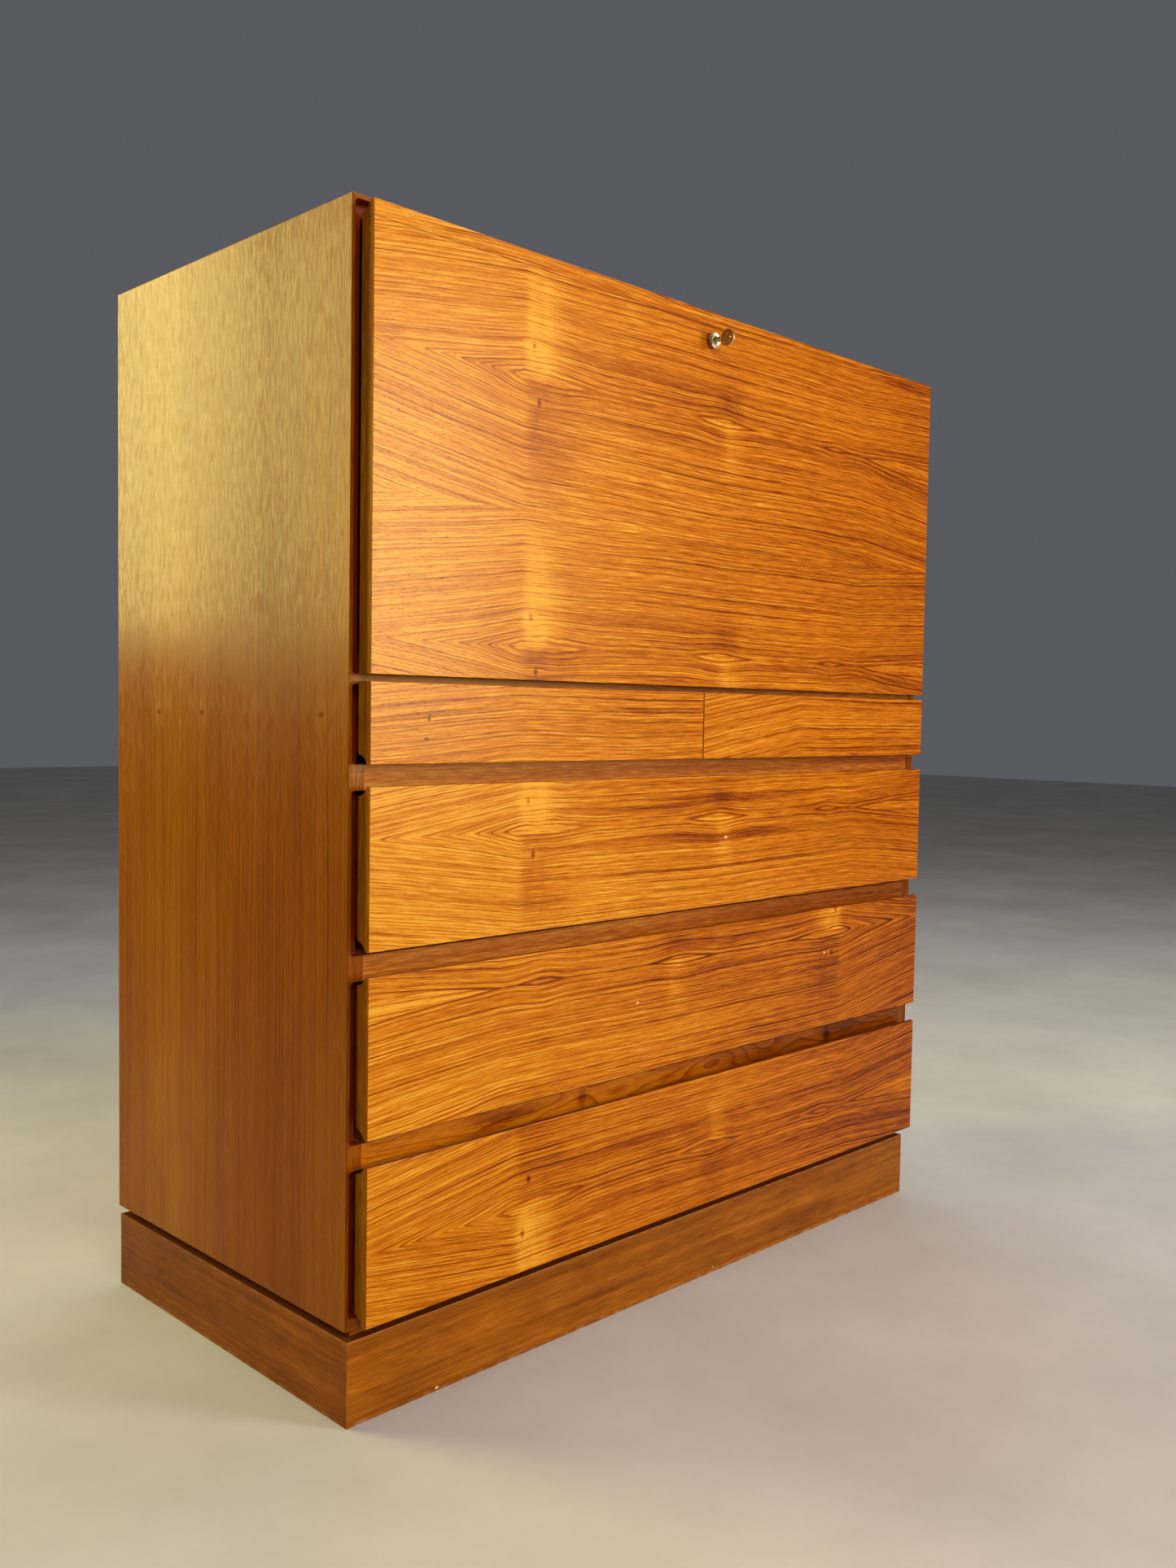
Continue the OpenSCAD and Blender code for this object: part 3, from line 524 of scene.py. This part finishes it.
def leaf_wood(name, ramp, leaf, along, across, start, heart, ends, edges, turned=False,
              flipped=False, seed=0.0, shift=0.0, fade=0.0, spots=(), joint=None, rebate=None,
              roughness=SATIN_ROUGH, mottled=0.0, gloss=SATIN_IOR, end_light=EDGE_LIGHT):
    """Veneer on the faces, with solid wood where ends or edges name an axis and its grain.

    The grain runs along one axis from start, or from there back when turned, and heart is the
    heart line's place across it; flipped turns the leaf over. shift is how much paler the whole
    is. The argument after shift is painted light and shade: how much darker the wood is painted per
    metre along the grain, paler at the low end where more light and sheen fall, darker in shade
    towards the high end. spots are marks on it, a glue line lies just below joint, rebate places
    the dark colour of a finger rebate, partly the solid teak's redder colour and partly painted
    shade, and mottled is how uneven its roughness is.
    """
    tree = Tree(name)
    u = tree.minus(start, tree.axes[along]) if turned else tree.minus(tree.axes[along], start)
    v = tree.minus(heart, tree.axes[across]) if flipped else tree.minus(tree.axes[across], heart)
    parts = growth(tree, leaf, u, v, seed)
    # The last term is painted light and shade: paler at the low end of the grain axis, darker in
    # shade towards the high end
    light = tree.plus(leaf_light(tree, leaf, u, parts), shift, tree.times(tree.axes[along], -fade))
    colour = tree.ramp(light, ramp)
    for (axis, grain_along), paler in ((ends, end_light), (edges, EDGE_LIGHT)):
        side_light, _ = solid_light(tree, grain_along, 3 - axis - grain_along, seed)
        side_colour = tree.ramp(tree.plus(side_light, shift, paler), TEAK_SIDE)
        colour = tree.mix(facing(tree, axis), colour, side_colour)
    for place, long, tall, stain in spots:
        mask = near_spot(tree, tree.axes[along], tree.axes[across], place, long, tall)
        ragged = tree.times(mask, tree.plus(0.45, tree.times(parts["fleck"], 1.1)))
        colour = tree.mix(tree.step(ragged, 0.25, 0.75), colour, stain)
    if joint is not None:
        glue = tree.step(tree.axes[across], joint - 0.9 * MM, joint - 0.3 * MM)
        colour = tree.mix(glue, colour, JOINT)
    # The rebate's hollow is painted dark red-brown: partly the solid teak's redder colour, partly
    # painted shade
    if rebate is not None:
        rebate_dark = tree.ramp(light, ((0.2, tuple(c * 0.7 for c in REBATE)), (0.9, REBATE)))
        colour = tree.mix(inside_rebate(tree, *rebate), colour, rebate_dark)
    worn = tree.plus(tree.times(tree.step(parts["mottle"], 0.38, 0.62), mottled),
                     tree.times(parts["across"], -0.42))
    rough = tree.plus(tree.times(facing(tree, ends[0]), 0.30), worn, roughness)
    dents = tree.plus(tree.times(parts["lines"], 0.35), parts["pores"])
    satin(tree, colour, parts["fleck"], dents, rough, gloss)
    return tree.material


def solid_wood(name, ramp, along, across, seed=0.0, shift=0.0, fade=0.0, scale=1.0, roughness=0.42,
               crossing=None, rebate_dark=None):
    """Solid wood with its grain along one axis.

    Boards that face that axis have it along crossing; the wood in front of the y that the last
    argument gives is painted as dark as the finger rebates.
    """
    tree = Tree(name)
    light, fleck = solid_light(tree, along, across, seed, scale)
    if crossing is not None:
        crossed, _ = solid_light(tree, crossing, 3 - along - crossing, seed, scale)
        light = tree.blend(facing(tree, along), light, crossed)
    # The slope along the grain is painted light and shade: paler at the low end, darker in shade
    # towards the high end
    light = tree.plus(light, shift, tree.times(tree.axes[along], -fade))
    colour = tree.ramp(light, ramp)
    if rebate_dark is not None:
        colour = tree.mix(tree.step(tree.axes[Y], rebate_dark, rebate_dark - MM), colour, REBATE)
    satin(tree, colour, fleck, 0.0, roughness)
    return tree.material


def figured_rail(name):
    """A rail with swirling grain, a pair of small dark knots and a dark smear."""
    tree = Tree(name)
    x, _, z = tree.axes
    swirl = tree.noise(tree.join(tree.times(x, 5.0), 0.0, tree.times(z, 24.0)), detail=1.0)
    bent = tree.plus(tree.times(z, 70.0), tree.times(swirl, 11.0))
    lines = tree.math("POWER", tree.math("FRACT", bent), 4.0)
    tone = tree.noise(tree.join(tree.times(x, 5.0), 0.0, tree.times(z, 18.0)))
    fleck = tree.noise(tree.join(tree.times(x, 45.0), 0.0, tree.times(z, 500.0)))
    # Paler and more golden towards the left end: painted light and sheen, as on the fronts above
    left = tree.step(x, 0.42, -0.40)
    light = tree.plus(
        0.43,
        tree.times(left, 0.28),
        tree.times(lines, tree.plus(tone, -0.15), -0.85),
        tree.swing(tone, 0.75),
        tree.swing(fleck, 0.60),
    )
    low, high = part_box("drawer_rail_3")
    middle = (low.z + high.z) / 2
    for at, rise, long, tall, paler in (
        (-0.175, 0.0, 0.006, 0.010, -0.32),
        (0.295, 0.0, 0.006, 0.010, -0.30),
        (-0.290, 0.003, 0.050, 0.005, -0.42),
    ):
        spot = near_spot(tree, x, z, (at, middle + rise), long, tall)
        light = tree.plus(light, tree.times(spot, paler))
    satin(tree, tree.mix(left, tree.ramp(light, TEAK_RED), tree.ramp(light, TEAK)), fleck, 0.0)
    return tree.material


def plinth_wood(name, along, seed):
    """Solid dark teak with mottled patches, a pale top edge that is partly rubbed wear and partly a
    painted highlight, scuffs near the floor and a few nicks.

    Its top faces lie in the shadow gap, where they are painted dark as painted shade.
    """
    tree = Tree(name)
    u, z = tree.axes[along], tree.axes[Z]
    light, fleck = solid_light(tree, along, Z, seed, 1.4)
    light = tree.plus(SOLID_LIGHT, tree.times(tree.minus(light, SOLID_LIGHT), 0.62))
    mottle = tree.noise(tree.join(tree.times(u, 11.0), seed, tree.times(z, 24.0)), detail=3.0)
    # The last term is painted shade: darker along u, towards the right on the front and back boards
    # and towards the back on the side boards
    light = tree.plus(light, tree.swing(mottle, 0.45), tree.times(u, -0.12))
    colour = tree.ramp(light, TEAK_DARK)

    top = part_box("plinth_front")[1].z
    worn = tree.noise(tree.join(tree.times(u, 60.0), seed, tree.times(z, 60.0)), detail=3.0)
    # A pale line along the top 2 mm of the outer faces: partly rubbed wear, partly a painted
    # highlight where light catches the top edge
    rub_and_highlight = tree.times(tree.step(z, top - 2.4 * MM, top - 0.4 * MM), tree.step(worn, 0.35, 0.60), 0.9)
    foot = tree.times(tree.step(z, 6.0 * MM, 0.0), tree.step(worn, 0.45, 0.65))
    colour = tree.mix(tree.times(tree.plus(rub_and_highlight, foot), 0.45), colour, SCUFF_AND_HIGHLIGHT)

    cells = tree.add("ShaderNodeTexVoronoi")
    tree.feed(cells.inputs["Vector"], tree.join(tree.times(u, 16.0), seed, tree.times(z, 24.0)))
    tree.feed(cells.inputs["Scale"], 1.0)
    pick = tree.split(cells.outputs["Color"])[0]
    near = tree.step(cells.outputs["Distance"], 0.050, 0.032)
    nick = tree.times(near, tree.step(pick, 0.78, 0.80))
    colour = tree.mix(nick, colour, NICK)

    # Faces that look up or down are painted dark as painted shade of the gap, and made rougher
    hidden = facing(tree, Z)
    colour = tree.mix(hidden, colour, GAP_PAINTED_SHADE)
    satin(tree, colour, fleck, nick, tree.plus(0.44, tree.times(hidden, 0.45)))
    return tree.material


# ---- metals ----

def metal(name, bright, tarnished, amount, roughness, brushed=None, grime=0.0, rubbed=None,
          sides=None):
    """A metal with cloudy tarnish and fine brush lines.

    amount is how much of it is tarnished. rubbed names a y, a z and the radius of a clean rim;
    sides is the colour of faces that don't look along y.
    """
    tree = Tree(name)
    clouds = tree.noise(tree.place, 260.0, 4.0, 0.6)
    film = tree.step(clouds, 0.62 - amount * 0.4, 0.80 - amount * 0.4)
    if rubbed is not None:
        y, z, radius = rubbed
        dy = tree.minus(tree.axes[Y], y)
        dz = tree.minus(tree.axes[Z], z)
        reach = tree.math("SQRT", tree.plus(tree.times(dy, dy), tree.times(dz, dz)))
        rim = tree.times(tree.step(reach, radius - 1.0 * MM, radius - 0.4 * MM),
                         tree.step(reach, radius + 1.2 * MM, radius + 0.4 * MM))
        film = tree.times(film, tree.minus(1.0, rim))
    colour = tree.mix(film, bright, tarnished)
    if sides is not None:
        colour = tree.mix(facing(tree, Y, 0.25, 0.55), sides, colour)
    specks = tree.step(tree.noise(tree.place, 1400.0), 0.64, 0.74)
    colour = tree.mix(tree.times(specks, grime), colour, GRIME)
    stretch = [900.0, 900.0, 900.0]
    if brushed is not None:
        stretch[brushed] = 30.0
    lines = tree.noise(tree.join(*(tree.times(a, s) for a, s in zip(tree.axes, stretch))))
    tree.set(
        Base_Color=colour,
        Metallic=1.0,
        Roughness=tree.plus(roughness, tree.times(film, 0.14), tree.swing(lines, 0.16)),
    )
    tree.bump(lines, 0.02 * MM, 0.5)
    return tree.material


# ---- the materials of the CAD nodes ----

def paint(node, material):
    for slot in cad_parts[node].material_slots:
        slot.material = material


def paint_front(node, drop, leaf=CROWN, **choices):
    """Gives a front level crown-cut veneer whose heart line lies drop below its top edge."""
    low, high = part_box(node)
    start = high.x if choices.get("turned") else low.x
    paint(node, leaf_wood("teak_" + node, TEAK, leaf, X, Z, start, high.z - drop, ends=(X, Z),
                          edges=(Z, X), end_light=FRONT_END_LIGHT, **choices))


def mark(node, right, down, long, tall, colour):
    """A spot for a front: its place from the front's top left corner, its reach and its colour."""
    low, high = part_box(node)
    return (low.x + right, high.z - down), long, tall, colour


def paint_fronts():
    # Each front's slope along x is painted light: paler at the left end, where the light and sheen
    # fall, darker in shade towards the right
    paint_front("flap_panel", 0.110, seed=0.7, fade=0.33, joint=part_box("flap_panel")[1].z)
    paint_front("small_left_front", 0.205, CALM, seed=2.3, shift=0.03, fade=0.18, spots=(
        mark("small_left_front", 0.070, 0.034, 0.0018, 0.0036, RUST),
        mark("small_left_front", 0.067, 0.055, 0.0034, 0.0016, RUST),
    ))
    paint_front("small_right_front", 0.150, SLANTED, flipped=True, seed=5.2, shift=0.07, fade=0.30)
    paint_front("drawer_1_front", 0.050, seed=0.9, fade=0.38, shift=0.06, spots=(
        mark("drawer_1_front", 0.530, 0.075, 0.0024, 0.0018, NICK),
    ))
    paint_front("drawer_2_front", 0.033, turned=True, seed=1.3, shift=-0.02, fade=0.42, spots=(
        mark("drawer_2_front", 0.377, 0.076, 0.0020, 0.0012, NICK),
        mark("drawer_2_front", 0.742, 0.059, 0.0014, 0.0022, NICK),
    ))
    paint_front("drawer_3_front", 0.086, flipped=True, seed=1.8, shift=-0.07, fade=0.38)
    paint_front("flap_lipping", 0.190, CALM, seed=3.0, shift=-0.02, fade=0.30)


def paint_carcass():
    for node, seed, outer in (("side_left", 0.0, 0), ("side_right", 4.0, 1)):
        low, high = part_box(node)
        paint(node, leaf_wood("teak_" + node, TEAK_SIDE, STRAIGHT, Z, Y, low.z, low.y + 0.160,
                              ends=(Z, X), edges=(Y, Z), seed=seed, roughness=0.21, mottled=0.12,
                              gloss=1.20, rebate=(low.y, X, (low, high)[outer].x)))
    low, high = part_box("top_panel")
    paint("top_panel", leaf_wood("teak_top", TEAK_SIDE, PLAIN, X, Y, low.x, low.y + 0.22,
                                 ends=(X, Y), edges=(Y, X), seed=8.0, roughness=0.32,
                                 rebate=(low.y, Z, high.z)))
    # The rails' shifts make them paler: partly their own tone, partly painted light that lifts them
    # out of the shade of their recess; rails 1 and 2 also get darker towards the right as painted
    # shade
    paint("upper_rail", solid_wood("teak_upper_rail", TEAK_RED, X, Z, seed=1.0, shift=0.30))
    for number, seed, shift in ((1, 2.0, 0.26), (2, 5.0, 0.14)):
        paint(f"drawer_rail_{number}", solid_wood(f"teak_rail_{number}", TEAK_RED, X, Z, seed=seed,
                                                  shift=shift, fade=0.28))
    paint("drawer_rail_3", figured_rail("teak_rail_3"))
    for node, along, seed in (("plinth_front", X, 11.0), ("plinth_back", X, 12.0),
                              ("plinth_left", Y, 13.0), ("plinth_right", Y, 14.0)):
        paint(node, plinth_wood("teak_" + node, along, seed))
    paint("spacer_strips", solid_wood("teak_spacer", TEAK_DARK, X, Y, seed=6.0, shift=-0.10))


def paint_inside():
    """The writing compartment, the hidden carcass boards and the drawer boxes."""
    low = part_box("desk_floor")[0]
    paint("desk_floor", leaf_wood("teak_desk_floor", TEAK_INSIDE, PLAIN, X, Y, low.x, low.y + 0.2,
                                  ends=(X, Y), edges=(Y, X), seed=23.0))
    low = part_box("back_panel")[0]
    paint("back_panel", leaf_wood("teak_back", TEAK_INSIDE, PLAIN, Z, X, low.z, low.x + 0.2,
                                  ends=(Z, X), edges=(X, Z), seed=24.0, roughness=0.5))
    level = solid_wood("teak_boards", TEAK_INSIDE, X, Y, seed=21.0, shift=0.03, scale=0.5)
    for node in ("bottom_panel", "pigeonhole_shelf", "flap_stops"):
        paint(node, level)
    upright = solid_wood("teak_uprights", TEAK_INSIDE, Z, Y, seed=22.0, shift=0.03, scale=0.6)
    for node in ("pigeonhole_sides", "upper_dividers", "lower_dividers"):
        paint(node, upright)
    # The wood that the gaps between the fronts show is as dark as the finger rebates
    beech = solid_wood("beech_sides", PALE, Y, Z, seed=31.0, scale=0.8, roughness=0.5,
                       crossing=X, rebate_dark=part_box("side_left")[0].y + 21.5 * MM)
    ply = solid_wood("ply_bottoms", PALE, X, Y, seed=32.0, shift=0.10, scale=0.4, roughness=0.55)
    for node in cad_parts:
        if node.endswith("_bottom"):
            paint(node, ply)
        elif (node.endswith("_box") or node.startswith("runners")
              or node in ("drawer_divider", "plinth_corner_blocks")):
            paint(node, beech)


def paint_metals():
    brass = metal("aged_brass", (0.62, 0.40, 0.14), (0.22, 0.12, 0.045), 0.55, 0.30, grime=0.4)
    nickel = metal("worn_nickel", (0.66, 0.61, 0.50), (0.36, 0.30, 0.20), 0.30, 0.20, grime=0.3)
    steel = metal("steel", (0.50, 0.50, 0.50), (0.30, 0.28, 0.26), 0.35, 0.30, brushed=Z, grime=0.3)
    for node in ("hinge_brackets", "hinge_leaves", "strike_plate"):
        paint(node, brass)
    for node in ("stay_brackets", "stay_guide_left", "stay_guide_right", "guide_mounts"):
        paint(node, nickel)
    for node in ("hinge_pins", "carcass_screws", "flap_screws", "lock_case", "lock_bolt",
                 "stay_bar_left", "stay_bar_right"):
        paint(node, steel)


# ---- eased edges ----

EASED = [
    "bottom_panel", "back_panel", "upper_rail", "drawer_rail_1", "drawer_rail_2", "drawer_rail_3",
    "drawer_divider", "runners_left", "runners_right", "runners_divider", "spacer_strips",
    "plinth_corner_blocks", "pigeonhole_sides", "pigeonhole_shelf", "upper_dividers",
    "lower_dividers", "flap_stops",
] + [drawer + part for drawer in ("small_left", "small_right", "drawer_1", "drawer_2", "drawer_3")
     for part in ("_box", "_bottom")]
EASE_WIDTH = 0.35 * MM
EASE_ABOVE = math.radians(40)


def ease(node):
    """Rounds a board's square edges a little, inside its own box."""
    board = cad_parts[node]
    weld = board.modifiers.new("weld", "WELD")
    weld.merge_threshold = 0.001 * MM
    bevel = board.modifiers.new("ease", "BEVEL")
    bevel.width = EASE_WIDTH
    bevel.segments = 2
    bevel.limit_method = "ANGLE"
    bevel.angle_limit = EASE_ABOVE
    bevel.harden_normals = False


# ---- the lock's barrel, plug and key ----

TURNS = 72
PLUG_RADIUS = 5.5 * MM
PLUG_SET_BACK = 0.6 * MM
KEYWAY = (1.4 * MM, 4.5 * MM)
DISC_THICK = 2.4 * MM
CRANK_LONG = 4.5 * MM
CRANK_THROW = 5.0 * MM
CRANK_RADIUS = 1.5 * MM
BOW_THICKNESS = 2.2 * MM
BOW_RADIUS = 10.0 * MM
NECK = 3.0 * MM
STRING_HOLE = 1.9 * MM
BLADE = (1.0 * MM, 3.5 * MM)
# The key's cuts, in millimetres: how far each is from the tip, and its depth
CUTS = ((11.5, 1.5), (8.5, 0.9), (5.5, 1.7), (3.0, 1.1))
SMOOTH_BELOW = math.radians(35)
RIM_ABOVE = math.radians(60)


def lock_middle():
    """The height of the lock's axis."""
    low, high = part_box("lock_barrel")
    return (low.z + high.z) / 2


def lock_nickel():
    """Worn nickel, brown on its sides."""
    return metal("lock_nickel", (0.66, 0.62, 0.46), (0.40, 0.33, 0.20), 0.30, 0.34, grime=0.3,
                 sides=(0.28, 0.145, 0.050))


def plug_brass():
    return metal("plug_brass", (0.50, 0.41, 0.24), (0.20, 0.145, 0.070), 0.45, 0.30, grime=0.3)


def key_brass():
    """Brown brass, rubbed bright along the bow's rim."""
    bow_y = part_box("key")[0].y + BOW_RADIUS
    return metal("key_brass", (0.80, 0.66, 0.36), (0.34, 0.250, 0.070), 0.85, 0.30, grime=0.2,
                 rubbed=(bow_y, lock_middle(), BOW_RADIUS))


def piece(name, bm, body, slot, material, *replaced):
    """Makes a mesh into a piece that rides on a body and stands for CAD nodes."""
    bmesh.ops.recalc_face_normals(bm, faces=bm.faces)
    mesh = bpy.data.meshes.new(name)
    bm.to_mesh(mesh)
    bm.free()
    mesh.shade_smooth()
    mesh.set_sharp_from_angle(angle=SMOOTH_BELOW)
    mesh.materials.append(material)
    thing = bpy.data.objects.new(name, mesh)
    bpy.context.scene.collection.objects.link(thing)
    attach(thing, body)
    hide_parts(*replaced)


def circle(bm, radius, y, x, z, turns):
    """Points round a line along y, or one point where the radius is 0."""
    angles = [2 * math.pi * i / turns for i in range(turns if radius else 1)]
    return [bm.verts.new((x + radius * math.cos(a), y, z + radius * math.sin(a))) for a in angles]


def skin(bm, circles, turns):
    """Faces from each circle to the next."""
    for first, second in zip(circles, circles[1:]):
        for i in range(turns):
            j = (i + 1) % turns
            corners = [first[i % len(first)], first[j % len(first)],
                       second[j % len(second)], second[i % len(second)]]
            bm.faces.new(dict.fromkeys(corners))


def turn(bm, outline, x=0.0, z=0.0, turns=TURNS):
    """Lathes (radius, y) points round a line along y, closed by two radii of 0 or into a tube."""
    circles = [circle(bm, radius, y, x, z, turns) for radius, y in outline]
    if outline[0][0] and outline[-1][0]:
        circles.append(circles[0])
    skin(bm, circles, turns)


def loop_edges(bm, loop):
    return [bm.edges.get(pair) or bm.edges.new(pair) for pair in zip(loop, loop[1:] + loop[:1])]


def plate(bm, loops, half, ease_width):
    """A flat plate, half to each side of x = 0, from (y, z) loops: its outline and any holes."""
    edges = []
    for loop in loops:
        edges += loop_edges(bm, [bm.verts.new((-half, y, z)) for y, z in loop])
    filled = bmesh.ops.triangle_fill(bm, use_beauty=True, edges=edges)["geom"]
    faces = [f for f in filled if isinstance(f, bmesh.types.BMFace)]
    grown = bmesh.ops.extrude_face_region(bm, geom=faces)["geom"]
    raised = [v for v in grown if isinstance(v, bmesh.types.BMVert)]
    bmesh.ops.translate(bm, vec=(2 * half, 0, 0), verts=raised)
    ends = {v for f in faces for v in f.verts} | set(raised)
    bmesh.ops.recalc_face_normals(bm, faces=[f for f in bm.faces if ends.issuperset(f.verts)])
    rims = [e for e in bm.edges if ends.issuperset(e.verts) and e.calc_face_angle(0) > RIM_ABOVE]
    bmesh.ops.bevel(bm, geom=rims, offset=ease_width, segments=2, affect="EDGES")


def arc(cy, cz, radius, first, last, steps):
    angles = (first + (last - first) * i / steps for i in range(steps + 1))
    return [(cy + radius * math.cos(a), cz + radius * math.sin(a)) for a in angles]


def make_barrel():
    """A turned barrel with a rounded rim round a dished face."""
    low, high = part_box("lock_barrel")
    face, back, radius = low.y, high.y, (high.x - low.x) / 2
    rim = radius - 0.95 * MM
    bm = bmesh.new()
    turn(bm, [
        (PLUG_RADIUS + 0.05 * MM, back),
        (PLUG_RADIUS + 0.05 * MM, face + 0.85 * MM),
        (PLUG_RADIUS + 0.25 * MM, face + 0.62 * MM),
        (rim - 0.9 * MM, face + 0.60 * MM),
        (rim - 0.35 * MM, face + 0.35 * MM),
        (rim - 0.10 * MM, face + 0.08 * MM),
        (rim + 0.10 * MM, face),
        (radius - 0.45 * MM, face),
        (radius - 0.15 * MM, face + 0.12 * MM),
        (radius, face + 0.45 * MM),
        (radius, face + 1.60 * MM),
        (radius - 0.25 * MM, face + 1.75 * MM),
        (radius - 0.25 * MM, face + 2.05 * MM),
        (radius, face + 2.20 * MM),
        (radius, back),
    ], z=lock_middle())
    piece("lock_barrel_turned", bm, "flap", "nickel", lock_nickel(), "lock_barrel")


def make_plug():
    """The plug with its keyway, and the disc and crank pin behind it."""
    barrel_low, barrel_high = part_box("lock_barrel")
    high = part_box("lock_plug")[1]
    z = lock_middle()
    face, disc, pin_end = barrel_low.y + PLUG_SET_BACK, high.x, high.y
    disc_front = pin_end - CRANK_LONG - DISC_THICK
    disc_back = disc_front + DISC_THICK
    ease_by = 0.3 * MM
    bm = bmesh.new()
    circles = [circle(bm, radius, y, 0.0, z, TURNS) for radius, y in (
        (PLUG_RADIUS - 0.25 * MM, face),
        (PLUG_RADIUS, face + 0.25 * MM),
        (PLUG_RADIUS, disc_front),
        (disc - ease_by, disc_front),
        (disc, disc_front + ease_by),
        (disc, disc_back - ease_by),
        (disc - ease_by, disc_back),
    )]
    skin(bm, circles, TURNS)
    bm.faces.new(circles[-1])
    half_w, half_h = KEYWAY
    corners = [(-half_w, -half_h), (half_w, -half_h), (half_w, half_h), (-half_w, half_h)]
    mouth, bottom = ([bm.verts.new((x, y, z + dz)) for x, dz in corners]
                     for y in (face, barrel_high.y - 1.0 * MM))
    bmesh.ops.triangle_fill(bm, use_beauty=True,
                            edges=loop_edges(bm, circles[0]) + loop_edges(bm, mouth))
    skin(bm, [mouth, bottom], len(corners))
    bm.faces.new(bottom)
    pin_start = disc_back - 0.1 * MM
    turn(bm, [(0.0, pin_start), (CRANK_RADIUS, pin_start), (CRANK_RADIUS, pin_end - ease_by),
              (CRANK_RADIUS - ease_by, pin_end), (0.0, pin_end)],
         x=CRANK_THROW, z=z - CRANK_THROW, turns=24)
    piece("lock_plug_turned", bm, "lock_plug", "brass", plug_brass(), "lock_plug")


def make_key():
    """A round bow with a string hole, a neck and a blade with its cuts."""
    low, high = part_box("key")
    z = lock_middle()
    bow_y, neck_y, tip_y = low.y + BOW_RADIUS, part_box("lock_barrel")[0].y - 0.5 * MM, high.y
    lean = math.asin(NECK / BOW_RADIUS)
    outline = arc(bow_y, z, BOW_RADIUS, lean, 2 * math.pi - lean, 64)
    outline += [(neck_y, z - NECK), (neck_y, z + NECK)]
    hole = arc(bow_y - BOW_RADIUS / 2, z, STRING_HOLE, 0.0, 2 * math.pi, 24)[:-1]
    bm = bmesh.new()
    plate(bm, [outline, hole], BOW_THICKNESS / 2, 0.28 * MM)
    half_t, half_h = BLADE
    top = [(neck_y - 0.5 * MM, z + half_h)]
    for cut, depth in CUTS:
        for away, drop in ((1.0, 0.0), (0.25, depth), (-0.25, depth), (-1.0, 0.0)):
            top.append((tip_y - (cut + away) * MM, z + half_h - drop * MM))
    tip = [(tip_y - 1.2 * MM, z + half_h), (tip_y, z + 1.0 * MM), (tip_y, z - 1.0 * MM),
           (tip_y - 1.6 * MM, z - half_h), (neck_y - 0.5 * MM, z - half_h)]
    plate(bm, [top + tip], half_t, 0.10 * MM)
    piece("key_cut", bm, "key", "brass", key_brass(), "key")


# ---- camera, light and floor ----

def camera():
    data = bpy.data.cameras.new("camera")
    data.lens = CAMERA_LENS
    data.sensor_width = CAMERA_SENSOR
    thing = bpy.data.objects.new("camera", data)
    turn_by = Matrix.Rotation(math.radians(CAMERA_TURN), 4, "Z")
    pitch = Matrix.Rotation(math.radians(90 + CAMERA_PITCH), 4, "X")
    roll = Matrix.Rotation(math.radians(CAMERA_ROLL), 4, "Z")
    thing.matrix_world = Matrix.Translation(CAMERA_AT) @ turn_by @ pitch @ roll
    bpy.context.scene.collection.objects.link(thing)
    bpy.context.scene.camera = thing


def softbox(name, place, target, width, height, power, colour=(1.0, 1.0, 1.0), spread=180.0):
    data = bpy.data.lights.new(name, "AREA")
    data.spread = math.radians(spread)
    data.shape = "RECTANGLE"
    data.size = width
    data.size_y = height
    data.energy = power
    data.color = colour
    thing = bpy.data.objects.new(name, data)
    thing.location = place
    aim = Vector(target) - Vector(place)
    thing.rotation_mode = "QUATERNION"
    thing.rotation_quaternion = aim.to_track_quat("-Z", "Y")
    thing.visible_camera = False
    bpy.context.scene.collection.objects.link(thing)


def studio():
    middle = (cad_box[0] + cad_box[1]) / 2
    softbox("key", (-1.1, -2.1, 2.3), middle, 2.0, 1.6, 38.0, (1.0, 0.96, 0.90))
    softbox("front_fill", (2.30, -4.2, 1.45), (-0.5, -0.2, 0.8), 1.05, 1.9, 166.0,
            (1.0, 0.97, 0.98))
    # Its mirror image is the sheen on the left side's upper half
    softbox("rear_left", (-1.80, 2.24, 1.57), (-0.5, 0.0, 0.9), 1.3, 1.36, 19.0,
            (1.0, 0.91, 0.33), spread=90.0)
    softbox("top", (0.4, 0.6, 3.2), middle, 2.8, 2.4, 45.0)
    world = bpy.data.worlds.new("studio")
    world.use_nodes = True
    background = world.node_tree.nodes["Background"]
    background.inputs["Color"].default_value = WORLD
    background.inputs["Strength"].default_value = 1.0
    bpy.context.scene.world = world
    bpy.context.scene.view_settings.view_transform = "Standard"


def floor():
    size = 14.0
    mesh = bpy.data.meshes.new("floor")
    corners = [(-size, -size, 0), (size, -size, 0), (size, size, 0), (-size, size, 0)]
    mesh.from_pydata(corners, [], [(0, 1, 2, 3)])
    thing = bpy.data.objects.new("floor", mesh)
    bpy.context.scene.collection.objects.link(thing)
    tree = Tree("pale_floor")
    clouds = tree.noise(tree.place, 2.2, 6.0, 0.62)
    tree.set(Base_Color=tree.ramp(clouds, FLOOR_PALE), Roughness=0.75)
    mesh.materials.append(tree.material)


camera()
studio()
floor()
paint_fronts()
paint_carcass()
paint_inside()
paint_metals()
make_barrel()
make_plug()
make_key()
for board in EASED:
    ease(board)

bpy.context.view_layer.update()
